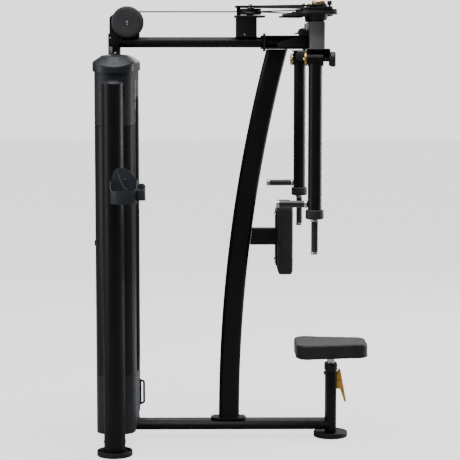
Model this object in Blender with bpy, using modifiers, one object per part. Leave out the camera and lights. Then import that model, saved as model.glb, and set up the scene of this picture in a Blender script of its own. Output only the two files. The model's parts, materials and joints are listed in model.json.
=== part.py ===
"""Pectoral fly and rear deltoid machine with an enclosed weight stack.

Metres, +Z up. The origin is on the floor at the centre of the machine's box.
+X runs from the weight tower to the seat, and the machine is symmetric in Y,
apart from the bottle holder on the left (-Y) upright and the pull handle on
the right half of the tower's front.
"""
import math

import bpy
import bmesh
from mathutils import Euler, Matrix, Vector

# ---------------------------------------------------------------- dimensions
GAP = 0.0003                    # between pieces that touch
FIT = 0.0005                    # radial play of a shaft in its bore
WALL = 0.003                    # steel tube wall
ROUND_SIDES = 24                # facets of the large round pieces

TOWER_X = -0.565                # centre plane of the weight tower
UPRIGHT_Y = 0.390
UPRIGHT_R = 0.050
UPRIGHT_TOP = 1.756
DOME = 0.016

FOOT_R = 0.0835
FOOT_H = 0.016                  # top of the disc inside its rim
FOOT_RIM = 0.025

OVAL_WIDE = 0.100               # flat-oval frame tube
OVAL_THIN = 0.050
BASE_TUBE_WIDE = 0.076          # the narrower tube between the tower's feet
BASE_BOTTOM = 0.039
BEAM_BOTTOM = 1.9075
BEAM_TOP = BEAM_BOTTOM + OVAL_THIN

SHROUD_HALF_X = 0.092
SHROUD_END_Y = 0.262            # where the rounded ends begin
SHROUD_BULGE = 0.073
SHROUD_WALL = 0.004
SHROUD_LEVELS = (0.096, 0.367, 1.543, 1.797)
SLOT_HALF_Y = 0.048             # front opening for the selector pin
SLOT_BOTTOM = 0.40
SLOT_TOP = 1.13

ROD_Y = 0.105
ROD_R = 0.0125
PLATE_X = 0.115
PLATE_Y = 0.320
PLATE_H = 0.026
PLATE_PITCH = 0.0265
PLATES_RESTING = 12
PLATES_LIFTED = 4
STACK_BOTTOM = 0.380
STACK_X = -0.5615               # stem, and the drop of both cables

NECK_X = (-0.605, -0.5485)
NECK_HALF_Y = 0.040
NECK_TOP = 1.973

CABLE_R = 0.003
CABLE_Y = 0.012
CABLE_Z = 2.0785
TOP_PULLEY = Vector((-0.5120, 0.0, 2.0290))
TOP_PULLEY_R = TOP_PULLEY.x - STACK_X        # cable centre to pulley centre
HEAD_PLATE_Y = 0.0505           # inner face of the pulley's side plates
HEAD_PLATE = 0.005
COVER_R = 0.0746
COVER_H = 0.013
AXLE_R = 0.006
GUIDE_PULLEY_X = 0.078
GUIDE_PULLEY_R = 0.050
GUIDE_PULLEY_Y = CABLE_Y + GUIDE_PULLEY_R

MAST_X = -0.025
MAST_R = 7.1                    # radius of the mast's curve
MAST_BOTTOM = 0.1005
MAST_TOP = 1.8990

PIVOT_X = 0.393
PIVOT_Y = 0.200
SHAFT_R = 0.020
CROSSBEAM_X = (0.3495, 0.422)
CROSSBEAM_Z = (1.8985, 2.0280)
BEARING_Z = (1.897, 2.033)      # the pivot sleeves, through the cross-beam
CAM_Z = (2.062, 2.0840)
CAM_R = 0.110                   # cable centre on the cam
CAM_FLAT = 0.087                # the cam's cut-off side
LOBE_R = 0.170                  # the stop lobe opposite
PIN_REACH = 0.052               # start-angle holes and pop-pin

CAM_HOLES = 6                   # start angles that the pop-pin can hold
CAM_HOLE_STEP = -14.0

HINGE_X = 0.3515
HINGE_Y = 0.660
HINGE_Z = 1.851
BOOM_REACH = math.hypot(PIVOT_X - HINGE_X, HINGE_Y - PIVOT_Y)
BOOM_BACK = math.atan2(PIVOT_X - HINGE_X, HINGE_Y - PIVOT_Y)
BARREL_R = 0.030
BARREL_HALF = 0.036
PIN_R = 0.010
EAR_X = 0.0625                  # middle of the yoke's one ear, along the pin
ARM_R = 0.031
ARM_BOTTOM = 1.1825
COLLAR_R = 0.041
GRIP_R = 0.0160

SEAT_X = 0.4757
SEAT_POST_TOP = 0.332
SEAT_PAD_X = (0.2986, 0.6530)
SEAT_PAD_Z = (0.4040, 0.478)
SLEEVE_H = 0.034

# ------------------------------------------------------------------ finishes
# name: colour, roughness, metallic
FINISHES = {
    "powder_coat": ((0.012, 0.012, 0.013), 0.42, 0.0),
    "shroud": ((0.032, 0.040, 0.051), 0.50, 0.0),
    "smoked": ((0.012, 0.014, 0.017), 0.25, 0.0),
    "cap_plastic": ((0.016, 0.020, 0.026), 0.45, 0.0),
    "upholstery": ((0.026, 0.026, 0.028), 0.60, 0.0),
    "rubber": ((0.020, 0.020, 0.021), 0.75, 0.0),
    "zinc": ((0.60, 0.60, 0.60), 0.30, 1.0),
    "cast_iron": ((0.060, 0.060, 0.065), 0.55, 1.0),
    "pulley_nylon": ((0.020, 0.020, 0.020), 0.50, 0.0),
    "cable": ((0.010, 0.010, 0.010), 0.35, 0.0),
    "safety_yellow": ((0.72, 0.38, 0.03), 0.45, 0.0),
}

ALONG_Z = Matrix.Identity(3)
ALONG_X = Matrix(((0, 0, 1), (1, 0, 0), (0, 1, 0)))      # outline x, y -> Y, Z
ALONG_Y = Matrix(((1, 0, 0), (0, 0, -1), (0, 1, 0)))     # outline x, y -> X, Z


# ------------------------------------------------------------------- helpers
def clear_scene():
    for item in list(bpy.data.objects):
        bpy.data.objects.remove(item, do_unlink=True)


def make_collection(name):
    collection = bpy.data.collections.new(name)
    bpy.context.scene.collection.children.link(collection)
    return collection


clear_scene()
MACHINE = make_collection("fly_machine")
CUTTERS = make_collection("cutters")


def finish(item, finish_name):
    colour, roughness, metallic = FINISHES[finish_name]
    material = bpy.data.materials.new(item.name)
    material.use_nodes = True
    shader = material.node_tree.nodes["Principled BSDF"]
    shader.inputs["Base Color"].default_value = (*colour, 1.0)
    shader.inputs["Roughness"].default_value = roughness
    shader.inputs["Metallic"].default_value = metallic
    item.data.materials.clear()
    item.data.materials.append(material)


def add_object(name, data, location=(0, 0, 0), turn=ALONG_Z):
    item = bpy.data.objects.new(name, data)
    MACHINE.objects.link(item)
    item.matrix_world = Matrix.Translation(location) @ turn.to_4x4()
    return item


def as_mesh(item):
    """Replace a curve, or a mesh with modifiers, by its plain welded mesh."""
    bpy.context.view_layer.update()
    evaluated = item.evaluated_get(bpy.context.evaluated_depsgraph_get())
    mesh = bpy.data.meshes.new_from_object(evaluated)
    edit = bmesh.new()
    edit.from_mesh(mesh)
    bmesh.ops.remove_doubles(edit, verts=edit.verts, dist=0.00001)
    bmesh.ops.recalc_face_normals(edit, faces=edit.faces)
    edit.to_mesh(mesh)
    edit.free()
    name = item.name
    place = item.matrix_world.copy()
    bpy.data.objects.remove(item, do_unlink=True)
    solid = bpy.data.objects.new(name, mesh)
    MACHINE.objects.link(solid)
    solid.matrix_world = place
    return solid


def smooth(item, degrees=35):
    item.data.shade_smooth()
    item.data.set_sharp_from_angle(angle=math.radians(degrees))


def helper_of(item):
    """Hide a cutter, or a piece that is joined to another."""
    item.hide_render = True
    item.display_type = "WIRE"
    MACHINE.objects.unlink(item)
    CUTTERS.objects.link(item)


def boolean(item, other, operation):
    helper_of(other)
    modifier = item.modifiers.new(other.name, "BOOLEAN")
    modifier.operation = operation
    modifier.solver = "EXACT"
    modifier.object = other


def cut(item, *others):
    for other in others:
        boolean(item, other, "DIFFERENCE")


def weld(item, *others):
    for other in others:
        boolean(item, other, "UNION")


def box(name, x, y, z, bevel=0.0, segments=1):
    """A block between the limits x, y and z, with rounded edges."""
    bpy.ops.mesh.primitive_cube_add(size=1)
    item = bpy.context.active_object
    item.name = name
    for collection in item.users_collection:
        collection.objects.unlink(item)
    MACHINE.objects.link(item)
    size = Vector((x[1] - x[0], y[1] - y[0], z[1] - z[0]))
    item.data.transform(Matrix.Diagonal((*size, 1.0)))
    item.location = ((x[0] + x[1]) / 2, (y[0] + y[1]) / 2, (z[0] + z[1]) / 2)
    if bevel:
        modifier = item.modifiers.new("round", "BEVEL")
        modifier.width = bevel
        modifier.segments = segments
    return item


def cylinder(name, radius, length, centre, turn=ALONG_Z, sides=20):
    mesh = bpy.data.meshes.new(name)
    edit = bmesh.new()
    bmesh.ops.create_cone(edit, cap_ends=True, segments=sides,
                          radius1=radius, radius2=radius, depth=length)
    edit.to_mesh(mesh)
    edit.free()
    item = add_object(name, mesh, centre, turn)
    smooth(item)
    return item


def turned(name, profile, centre, turn=ALONG_Z, sides=20, closed=False):
    """Turn a profile of (radius, height) points, listed top to bottom."""
    mesh = bpy.data.meshes.new(name)
    points = [(radius, 0, height) for radius, height in profile]
    edges = [(i, i + 1) for i in range(len(points) - 1)]
    if closed:
        edges.append((len(points) - 1, 0))
    mesh.from_pydata(points, edges, [])
    item = add_object(name, mesh, centre, turn)
    screw = item.modifiers.new("turn", "SCREW")
    screw.steps = sides
    screw.render_steps = sides
    screw.use_merge_vertices = True
    screw.merge_threshold = 0.00001
    return as_mesh(item)


def oval(width, height, steps=4):
    """A flat oval: half circles on the short sides."""
    wide = width >= height
    radius = min(width, height) / 2
    reach = abs(width - height) / 2
    points = []
    for i in range(2 * steps + 2):
        half = i // (steps + 1)
        angle = math.pi * (i - half) / steps - math.pi / 2
        side = reach if half == 0 else -reach
        across = radius * math.cos(angle) + side
        along = radius * math.sin(angle)
        points.append((across, along) if wide else (-along, across))
    return points


def rounded(corners, radius, steps=3):
    """An outline through corners, each of them rounded by an arc."""
    points = []
    count = len(corners)
    radii = radius if isinstance(radius, (list, tuple)) else [radius] * count
    for i, corner in enumerate(corners):
        here = Vector(corner)
        back = (Vector(corners[i - 1]) - here).normalized()
        ahead = (Vector(corners[(i + 1) % count]) - here).normalized()
        half = back.angle(ahead) / 2
        middle = here + (back + ahead).normalized() * (radii[i] / math.sin(half))
        start = here + back * (radii[i] / math.tan(half)) - middle
        end = here + ahead * (radii[i] / math.tan(half)) - middle
        sweep = start.angle_signed(end)
        for k in range(steps + 1):
            angle = -sweep * k / steps
            spoke = Matrix.Rotation(angle, 2) @ start
            points.append(tuple(middle + spoke))
    return points


def rectangle(width, height, radius, steps=2):
    x, y = width / 2, height / 2
    return rounded([(-x, -y), (x, -y), (x, y), (-x, y)], radius, steps)


def circle(radius, centre=(0, 0), sides=20):
    return [(centre[0] + radius * math.cos(2 * math.pi * i / sides),
             centre[1] + radius * math.sin(2 * math.pi * i / sides))
            for i in range(sides)]


def extruded(name, outlines, length, centre, turn=ALONG_Z):
    """A flat outline, with any holes after it, given a thickness."""
    curve = bpy.data.curves.new(name, "CURVE")
    curve.dimensions = "2D"
    curve.fill_mode = "BOTH"
    curve.extrude = length / 2
    for outline in outlines:
        spline = curve.splines.new("POLY")
        spline.points.add(len(outline) - 1)
        for point, (x, y) in zip(spline.points, outline):
            point.co = (x, y, 0, 1)
        spline.use_cyclic_u = True
    item = as_mesh(add_object(name, curve, centre, turn))
    smooth(item)
    return item


def rod_along(name, points, radius, resolution=2):
    """A round bar along a path."""
    curve = bpy.data.curves.new(name, "CURVE")
    curve.dimensions = "3D"
    curve.bevel_depth = radius
    curve.bevel_resolution = resolution
    curve.use_fill_caps = True
    spline = curve.splines.new("POLY")
    spline.points.add(len(points) - 1)
    for point, place in zip(spline.points, points):
        point.co = (*place, 1)
    item = as_mesh(add_object(name, curve))
    smooth(item, 50)
    return item


def arc(centre, radius, start, end, steps):
    """Points in degrees from start to end about a centre, in a plane."""
    angles = [math.radians(start + (end - start) * i / steps) for i in range(steps + 1)]
    return [(centre[0] + radius * math.cos(a), centre[1] + radius * math.sin(a)) for a in angles]


def hollow_oval(name, width, height, length, centre, turn):
    outer = oval(width, height)
    inner = oval(width - 2 * WALL, height - 2 * WALL)
    return extruded(name, [outer, inner], length, centre, turn)


def span(low, high):
    return high - low, (low + high) / 2


# --------------------------------------------------------------- base frame
def foot(name, x, y, spigot_r):
    rim = FOOT_R - 0.007
    profile = [(0, FOOT_H + 0.012), (spigot_r, FOOT_H + 0.012), (spigot_r, FOOT_H),
               (rim - 0.003, FOOT_H), (rim, FOOT_RIM), (FOOT_R - 0.002, FOOT_RIM),
               (FOOT_R, FOOT_RIM - 0.002), (FOOT_R, 0.004), (FOOT_R - 0.003, 0), (0, 0)]
    item = turned(name, profile, (x, y, 0), sides=ROUND_SIDES)
    smooth(item)
    finish(item, "rubber")


def upright(name, y):
    inner = UPRIGHT_R - WALL
    bottom = FOOT_H + GAP
    steps = 3
    angles = [math.radians(90 * i / steps) for i in range(steps + 1)]
    shoulder = UPRIGHT_TOP - DOME
    outside = [(UPRIGHT_R * math.sin(a), shoulder + DOME * math.cos(a)) for a in angles]
    inside = [(inner * math.sin(a), shoulder - WALL + DOME * math.cos(a)) for a in angles]
    profile = outside + [(UPRIGHT_R, bottom), (inner, bottom)] + inside[::-1]
    item = turned(name, profile, (TOWER_X, y, 0), sides=ROUND_SIDES)
    smooth(item)
    finish(item, "powder_coat")


def cross_tube(name, width, z):
    """A flat-oval tube between the uprights, coped to them."""
    reach = UPRIGHT_Y - 0.030
    item = hollow_oval(name, width, OVAL_THIN, 2 * reach, (TOWER_X, 0, z), ALONG_Y)
    for side in (-1, 1):
        cope = cylinder(f"{name}_cope_{side}", UPRIGHT_R + 3 * GAP, 0.2,
                        (TOWER_X, side * UPRIGHT_Y, z), sides=ROUND_SIDES)
        cut(item, cope)
    finish(item, "powder_coat")
    return item


def base_frame():
    for side, y in (("left", -UPRIGHT_Y), ("right", UPRIGHT_Y)):
        foot(f"tower_foot_{side}", TOWER_X, y, UPRIGHT_R - WALL - GAP)
        upright(f"tower_upright_{side}", y)
    foot("seat_foot", SEAT_X, 0, 0.020)
    middle = BASE_BOTTOM + OVAL_THIN / 2
    cross_tube("tower_base_tube", BASE_TUBE_WIDE, middle)
    top = cross_tube("tower_top_tube", OVAL_WIDE, UPRIGHT_TOP - 0.055)
    cable_hole = cylinder("cable_hole", 0.020, 0.2, (STACK_X, 0, UPRIGHT_TOP - 0.055))
    rod_holes = [cylinder(f"rod_hole_{s}", ROD_R + GAP, 0.034,
                          (TOWER_X, s * ROD_Y, UPRIGHT_TOP - 0.080)) for s in (-1, 1)]
    cut(top, cable_hole, *rod_holes)
    start = TOWER_X + BASE_TUBE_WIDE / 2 + GAP
    length, centre = span(start, SEAT_X)
    beam = hollow_oval("base_beam", OVAL_WIDE, OVAL_THIN, length, (centre, 0, middle), ALONG_X)
    cope = extruded("seat_post_cope", [oval(0.054 + 2 * GAP, 0.100 + 2 * GAP)], 0.2,
                    (SEAT_X, 0, middle))
    cut(beam, cope)
    finish(beam, "powder_coat")


# --------------------------------------------------------- mast and overhead
def mast():
    steps = 12
    lean = math.asin((MAST_TOP - MAST_BOTTOM) / MAST_R) + 0.006
    curve = bpy.data.curves.new("mast", "CURVE")
    curve.dimensions = "3D"
    section = bpy.data.curves.new("mast_section", "CURVE")
    section.dimensions = "2D"
    loop = section.splines.new("POLY")
    outline = oval(OVAL_WIDE, OVAL_THIN)
    loop.points.add(len(outline) - 1)
    for point, (x, y) in zip(loop.points, outline):
        point.co = (x, y, 0, 1)
    loop.use_cyclic_u = True
    section_item = add_object("mast_section", section)
    curve.bevel_mode = "OBJECT"
    curve.bevel_object = section_item
    curve.twist_mode = "Z_UP"
    path = curve.splines.new("POLY")
    path.points.add(steps)
    for i, point in enumerate(path.points):
        angle = lean * i / steps
        x = MAST_X + MAST_R * (1 - math.cos(angle))
        point.co = (x, 0, MAST_BOTTOM + MAST_R * math.sin(angle), 1)
    item = as_mesh(add_object("mast", curve))
    bpy.data.objects.remove(section_item, do_unlink=True)
    wall = item.modifiers.new("wall", "SOLIDIFY")
    wall.thickness = WALL
    wall.offset = -1
    top = box("mast_trim", (0, 0.5), (-0.1, 0.1), (MAST_TOP, MAST_TOP + 0.2))
    cut(item, top)
    plate_outline = rectangle(0.173, 0.084, 0.038, 4)
    plate_z = (BASE_BOTTOM + OVAL_THIN + GAP, MAST_BOTTOM + 0.001)
    thick, centre = span(*plate_z)
    plate = extruded("mast_foot_plate", [plate_outline], thick, (-0.0275, 0, centre))
    weld(item, plate)
    finish(item, "powder_coat")


def mast_front_x(z):
    """Where the mast's +X face is at a height."""
    angle = math.asin((z - MAST_BOTTOM) / MAST_R)
    return MAST_X + MAST_R * (1 - math.cos(angle)) + OVAL_WIDE / 2 / math.cos(angle)


def overhead():
    start = NECK_X[1] + GAP
    end = CROSSBEAM_X[0] - GAP
    length, centre = span(start, end)
    beam = hollow_oval("top_beam", OVAL_WIDE, OVAL_THIN, length,
                       (centre, 0, BEAM_BOTTOM + OVAL_THIN / 2), ALONG_X)
    finish(beam, "powder_coat")

    width, centre = span(*NECK_X)
    bottom = UPRIGHT_TOP - 0.055 + OVAL_THIN / 2 + GAP
    height, middle = span(bottom, NECK_TOP)
    outer = rectangle(width, 2 * NECK_HALF_Y, 0.006)
    inner = rectangle(width - 2 * WALL, 2 * NECK_HALF_Y - 2 * WALL, 0.003)
    neck = extruded("neck", [outer, inner], height, (centre, 0, middle))
    finish(neck, "powder_coat")


def pulley_head():
    """Side plates on a saddle, covers, axle and the double pulley on the neck."""
    outline = rounded([(-0.5975, 1.915), (-0.5495, 1.915), (-0.5495, 1.950), (-0.457, 1.9585),
                       (-0.457, 1.972), (-0.466, 2.050), (-0.512, 2.080), (-0.562, 2.080),
                       (-0.5975, 2.050)],
                      [0.004, 0.004, 0.004, 0.003, 0.004, 0.020, 0.020, 0.012, 0.012])
    bracket = box("pulley_bracket", (-0.546, -0.462), (-HEAD_PLATE_Y - 0.001, HEAD_PLATE_Y + 0.001),
                  (BEAM_TOP + GAP, BEAM_TOP + 0.0085))
    for side, s in (("left", -1), ("right", 1)):
        y = s * (HEAD_PLATE_Y + HEAD_PLATE / 2)
        plate = extruded(f"pulley_plate_{side}", [outline], HEAD_PLATE, (0, y, 0), ALONG_Y)
        hole = cylinder(f"pulley_plate_hole_{side}", AXLE_R + GAP, 0.02,
                        (TOP_PULLEY.x, y, TOP_PULLEY.z), ALONG_Y)
        weld(bracket, plate)
        cut(bracket, hole)
        pulley_cover(side, s)
    finish(bracket, "powder_coat")
    pulley_axle()
    double_pulley()


def pulley_cover(side, s):
    """A round guard outside a side plate."""
    half = COVER_H / 2
    profile = [(0, half), (0.058, half), (0.070, half - 0.002), (COVER_R, half - 0.005),
               (COVER_R, -half), (0, -half)]
    y = s * (HEAD_PLATE_Y + HEAD_PLATE + GAP + half)
    turn = Euler((math.radians(-90 * s), 0, 0)).to_matrix()
    guard = turned(f"pulley_cover_{side}", profile, (TOP_PULLEY.x, y, TOP_PULLEY.z), turn)
    smooth(guard)
    bore = cylinder(f"pulley_cover_hole_{side}", AXLE_R + GAP, 0.03,
                    (TOP_PULLEY.x, y, TOP_PULLEY.z), ALONG_Y)
    cut(guard, bore)
    finish(guard, "cap_plastic")


def pulley_axle():
    reach = HEAD_PLATE_Y + HEAD_PLATE + GAP + COVER_H
    axle = cylinder("top_pulley_axle", AXLE_R, 2 * reach, TOP_PULLEY, ALONG_Y, 24)
    for s in (-1, 1):
        head = cylinder(f"axle_head_{s}", 0.0085, 0.006,
                        (TOP_PULLEY.x, s * (reach + 0.003 + GAP), TOP_PULLEY.z), ALONG_Y, 6)
        neck = cylinder(f"axle_neck_{s}", AXLE_R, 0.006,
                        (TOP_PULLEY.x, s * (reach + 0.002), TOP_PULLEY.z), ALONG_Y, 24)
        weld(axle, head, neck)
    finish(axle, "zinc")


def double_pulley():
    groove = TOP_PULLEY_R - CABLE_R - GAP
    rim = groove + 0.008
    half = 0.030
    side_profile = []
    for y in (CABLE_Y, -CABLE_Y):
        side_profile += [(rim, y + 0.0075), (groove, y + 0.0035), (groove, y - 0.0035),
                         (rim, y - 0.0075)]
    profile = ([(0.0066, half), (0.016, half), (0.018, 0.0215), (rim, 0.0215)] + side_profile
               + [(rim, -0.0215), (0.018, -0.0215), (0.016, -half), (0.0066, -half)])
    pulley = turned("top_pulley", profile, TOP_PULLEY, ALONG_Y, closed=True)
    smooth(pulley)
    finish(pulley, "pulley_nylon")


def guide_pulleys():
    """A welded pedestal on the beam, with two level pulleys and a lid."""
    tall, middle = span(BEAM_TOP + GAP, 2.054)
    outer = rectangle(0.100, 0.120, 0.008)
    inner = rectangle(0.092, 0.112, 0.004)
    base = extruded("guide_pedestal", [outer, inner], tall, (0.058, 0, middle))
    outline = rounded([(0.000, -0.128), (0.100, -0.128), (0.148, -0.090), (0.148, 0.090),
                       (0.100, 0.128), (0.000, 0.128)], 0.020)
    shelf = extruded("guide_shelf", [outline], 0.007, (0, 0, 2.0555))
    weld(base, shelf)
    groove = GUIDE_PULLEY_R - CABLE_R - GAP
    rim = groove + 0.006
    top = [(0.0066, 0.0155), (0.016, 0.0155), (0.018, 0.0125), (rim, 0.0125), (rim, 0.0095),
           (groove, 0.0033)]
    profile = top + [(radius, -height) for radius, height in top[::-1]]
    for side, s in (("left", -1), ("right", 1)):
        y = s * GUIDE_PULLEY_Y
        pin = cylinder(f"guide_pin_{side}", 0.006, 0.040, (GUIDE_PULLEY_X, y, 2.0765))
        weld(base, pin)
        pulley = turned(f"guide_pulley_{side}", profile, (GUIDE_PULLEY_X, y, CABLE_Z), closed=True)
        smooth(pulley)
        finish(pulley, "pulley_nylon")
    finish(base, "powder_coat")


def tie_plate():
    """The lid over the guide pulleys, reaching to both pivots."""
    half = [(0.335, 0.120), (0.384, 0.1635), (0.424, 0.1730), (0.430, 0.2000), (0.424, 0.2270),
            (0.384, 0.2365), (0.330, 0.236), (0.110, 0.128), (0.004, 0.100)]
    corners = half + [(x, -y) for x, y in half[::-1]]
    radii = [0.018, 0.004, 0.012, 0.012, 0.012, 0.004, 0.018, 0.018, 0.018]
    holes = [circle(SHAFT_R + FIT, (PIVOT_X, s * PIVOT_Y)) for s in (-1, 1)]
    pins = [circle(0.0063, (GUIDE_PULLEY_X, s * GUIDE_PULLEY_Y), 16) for s in (-1, 1)]
    outline = rounded(corners[::-1], (radii + radii[::-1])[::-1])
    item = extruded("tie_plate", [outline, *holes, *pins], 0.006, (0, 0, 2.1025))
    posts = [box(f"tie_post_{s}", (0.012, 0.030), (s * 0.030 - 0.008, s * 0.030 + 0.008),
                 (2.0593, 2.1005)) for s in (-1, 1)]
    weld(item, *posts)
    finish(item, "powder_coat")


def head():
    """The cross-beam with both pivot bearings, and the clamp that holds it."""
    length_y = 2 * 0.232
    width, centre_x = span(*CROSSBEAM_X)
    height, centre_z = span(*CROSSBEAM_Z)
    outer = rectangle(width, height, 0.006)
    inner = rectangle(width - 0.010, height - 0.010, 0.003)
    beam = extruded("head_crossbeam", [outer, inner], length_y, (centre_x, 0, centre_z), ALONG_Y)
    tall, middle = span(*BEARING_Z)
    for s in (-1, 1):
        place = (PIVOT_X, s * PIVOT_Y, middle)
        sleeve = cylinder(f"pivot_sleeve_{s}", 0.0285, tall, place)
        weld(beam, sleeve)
    for s in (-1, 1):
        bore = cylinder(f"pivot_bore_{s}", SHAFT_R + FIT, 0.3, (PIVOT_X, s * PIVOT_Y, middle))
        cut(beam, bore)
    finish(beam, "powder_coat")

    reach = (0.128, CROSSBEAM_X[0] - GAP)
    length, centre = span(*reach)
    outline = rectangle(length, 0.128, 0.014)
    top = extruded("head_clamp", [outline], 0.007, (centre, 0, BEAM_TOP + GAP + 0.0035))
    lower = extruded("head_clamp_lower", [outline], 0.007, (centre, 0, BEAM_BOTTOM - GAP - 0.0035))
    weld(top, lower)
    for x in (0.145, 0.338):
        for s in (-1, 1):
            bolt = cylinder(f"clamp_bolt_{x}_{s}", 0.005, 0.078,
                            (x, s * 0.0565, BEAM_BOTTOM + OVAL_THIN / 2), sides=8)
            weld(top, bolt)
    finish(top, "powder_coat")


def chest_rest():
    """The pad's bracket with its plate, and the pad."""
    z = (0.953, 1.035)
    height, middle = span(*z)
    plate_x = (0.2010, 0.2070)
    length, centre = span(0.060, plate_x[0] + 0.001)
    outer = rectangle(0.050, height, 0.006)
    inner = rectangle(0.050 - 2 * WALL, height - 2 * WALL, 0.003)
    arm = extruded("pad_bracket", [outer, inner], length, (centre, 0, middle), ALONG_X)
    lean = math.asin((middle - MAST_BOTTOM) / MAST_R)
    cutter = box("pad_bracket_cope", (-0.1, 0), (-0.06, 0.06), (-0.12, 0.12))
    cutter.rotation_euler.y = lean
    cutter.data.transform(Matrix.Translation((-0.05, 0, 0)))
    cutter.location = (mast_front_x(middle) + 0.0012, 0, middle)
    cut(arm, cutter)
    thick, centre = span(*plate_x)
    plate = extruded("pad_plate", [rectangle(0.150, 0.270, 0.020)], thick, (centre, 0, 0.990),
                     ALONG_X)
    weld(arm, plate)
    finish(arm, "powder_coat")

    front = 0.2825
    back = plate_x[1] + GAP
    outline = rounded([(back, 0.850), (back + 0.016, 0.815), (front, 0.815), (front, 1.166),
                       (back + 0.010, 1.166), (back, 1.150)],
                      [0.008, 0.012, 0.022, 0.022, 0.008, 0.008])
    pad = extruded("chest_pad", [outline], 0.260, (0, 0, 0), ALONG_Y)
    low, high = 0.815, 1.166
    tall, middle = span(low, high)
    corners = extruded("chest_pad_corners", [rectangle(0.260, tall, 0.040, 4)], 0.2,
                       ((back + front) / 2, 0, middle), ALONG_X)
    boolean(pad, corners, "INTERSECT")
    finish(pad, "upholstery")


# ------------------------------------------------------------- weight tower
def round_ended(half_x, straight_y, end_y, steps=12):
    """A plan with straight long sides and elliptical ends."""
    end = [(half_x * math.cos(math.pi * i / steps),
            straight_y + (end_y - straight_y) * math.sin(math.pi * i / steps))
           for i in range(steps + 1)]
    return end + [(-a, -b) for a, b in end]


def shroud_ring(name, z, slot=None):
    """A wrap-round shell between two heights."""
    loops = [round_ended(SHROUD_HALF_X - inset, SHROUD_END_Y, SHROUD_END_Y + SHROUD_BULGE - inset)
             for inset in (0.0, SHROUD_WALL)]
    height, middle = span(*z)
    item = extruded(name, loops, height, (TOWER_X, 0, middle))
    if slot:
        window = box(f"{name}_slot", (TOWER_X + 0.06, TOWER_X + 0.12), (-SLOT_HALF_Y, SLOT_HALF_Y),
                     slot)
        cut(item, window)
    return item


def shroud():
    low, sill, lintel, top = SHROUD_LEVELS
    lower = shroud_ring("shroud_lower", (low, sill - GAP / 2))
    finish(lower, "shroud")
    upper = shroud_ring("shroud_upper", (lintel + GAP / 2, top))
    tube_z = UPRIGHT_TOP - 0.055
    passage = box("shroud_passage", (TOWER_X - 0.052, TOWER_X + 0.052), (-0.4, 0.4),
                  (tube_z - 0.027, tube_z + 0.027))
    cut(upper, passage)
    finish(upper, "shroud")
    window = shroud_ring("shroud_window", (sill + GAP / 2, lintel - GAP / 2), (SLOT_BOTTOM, SLOT_TOP))
    finish(window, "smoked")
    shroud_cap(top + GAP)
    handle()


def shroud_cap(bottom):
    """The lid: a skirt that dips at both ends, a domed roof and an opening for the neck."""
    # half width, end of the straight sides, end of the plan, height at the sides, at the ends
    levels = [(0.083, 0.258, 0.322, bottom, bottom),
              (0.095, SHROUD_END_Y, 0.341, bottom, bottom),
              (0.095, SHROUD_END_Y, 0.341, bottom - 0.002, bottom - 0.010),
              (0.100, SHROUD_END_Y, 0.346, bottom - 0.002, bottom - 0.010),
              (0.100, SHROUD_END_Y, 0.346, bottom + 0.041, bottom + 0.012),
              (0.095, 0.258, 0.340, bottom + 0.046, bottom + 0.018),
              (0.057, 0.235, 0.285, bottom + 0.072, bottom + 0.063),
              (0.028, 0.215, 0.250, bottom + 0.077, bottom + 0.076),
              (0.024, 0.210, 0.243, bottom + 0.071, bottom + 0.070),
              (0.053, 0.230, 0.278, bottom + 0.066, bottom + 0.056),
              (0.083, 0.258, 0.322, bottom + 0.040, bottom + 0.008)]
    edit = bmesh.new()
    rings = []
    for half_x, straight, end, side_z, end_z in levels:
        ring = []
        for x, y in round_ended(half_x, straight, end):
            share = max(0.0, abs(y) - straight) / (end - straight)
            ring.append(edit.verts.new((x, y, side_z + (end_z - side_z) * share ** 2)))
        rings.append(ring)
    roof_top, roof_under = 7, 8
    for k, lower in enumerate(rings):
        upper = rings[(k + 1) % len(rings)]
        if k == roof_top:
            continue
        for i in range(len(lower)):
            j = (i + 1) % len(lower)
            edit.faces.new((lower[i], lower[j], upper[j], upper[i]))
    edit.faces.new(rings[roof_top])
    edit.faces.new(rings[roof_under])
    bmesh.ops.triangulate(edit, faces=[face for face in edit.faces if len(face.verts) > 4])
    bmesh.ops.recalc_face_normals(edit, faces=edit.faces)
    mesh = bpy.data.meshes.new("shroud_cap")
    edit.to_mesh(mesh)
    edit.free()
    item = add_object("shroud_cap", mesh, (TOWER_X, 0, 0))
    opening = box("cap_opening", (NECK_X[0] - 0.001, NECK_X[1] + 0.001),
                  (-NECK_HALF_Y - 0.001, NECK_HALF_Y + 0.001), (bottom - 0.05, bottom + 0.2))
    cut(item, opening)
    smooth(item, 30)
    finish(item, "cap_plastic")


def handle():
    """A pull handle at the foot of the tower's front."""
    radius = 0.005
    face = TOWER_X + SHROUD_HALF_X + GAP
    out = -0.447
    z = (0.115, 0.231)
    bend = 0.012
    path = [(face, z[0])]
    path += arc((out - bend, z[0] + bend), bend, -90, 0, 4)
    path += arc((out - bend, z[1] - bend), bend, 0, 90, 4)
    path += [(face, z[1])]
    item = rod_along("tower_handle", [(x, 0.250, height) for x, height in path], radius, 2)
    finish(item, "cap_plastic")


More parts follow.
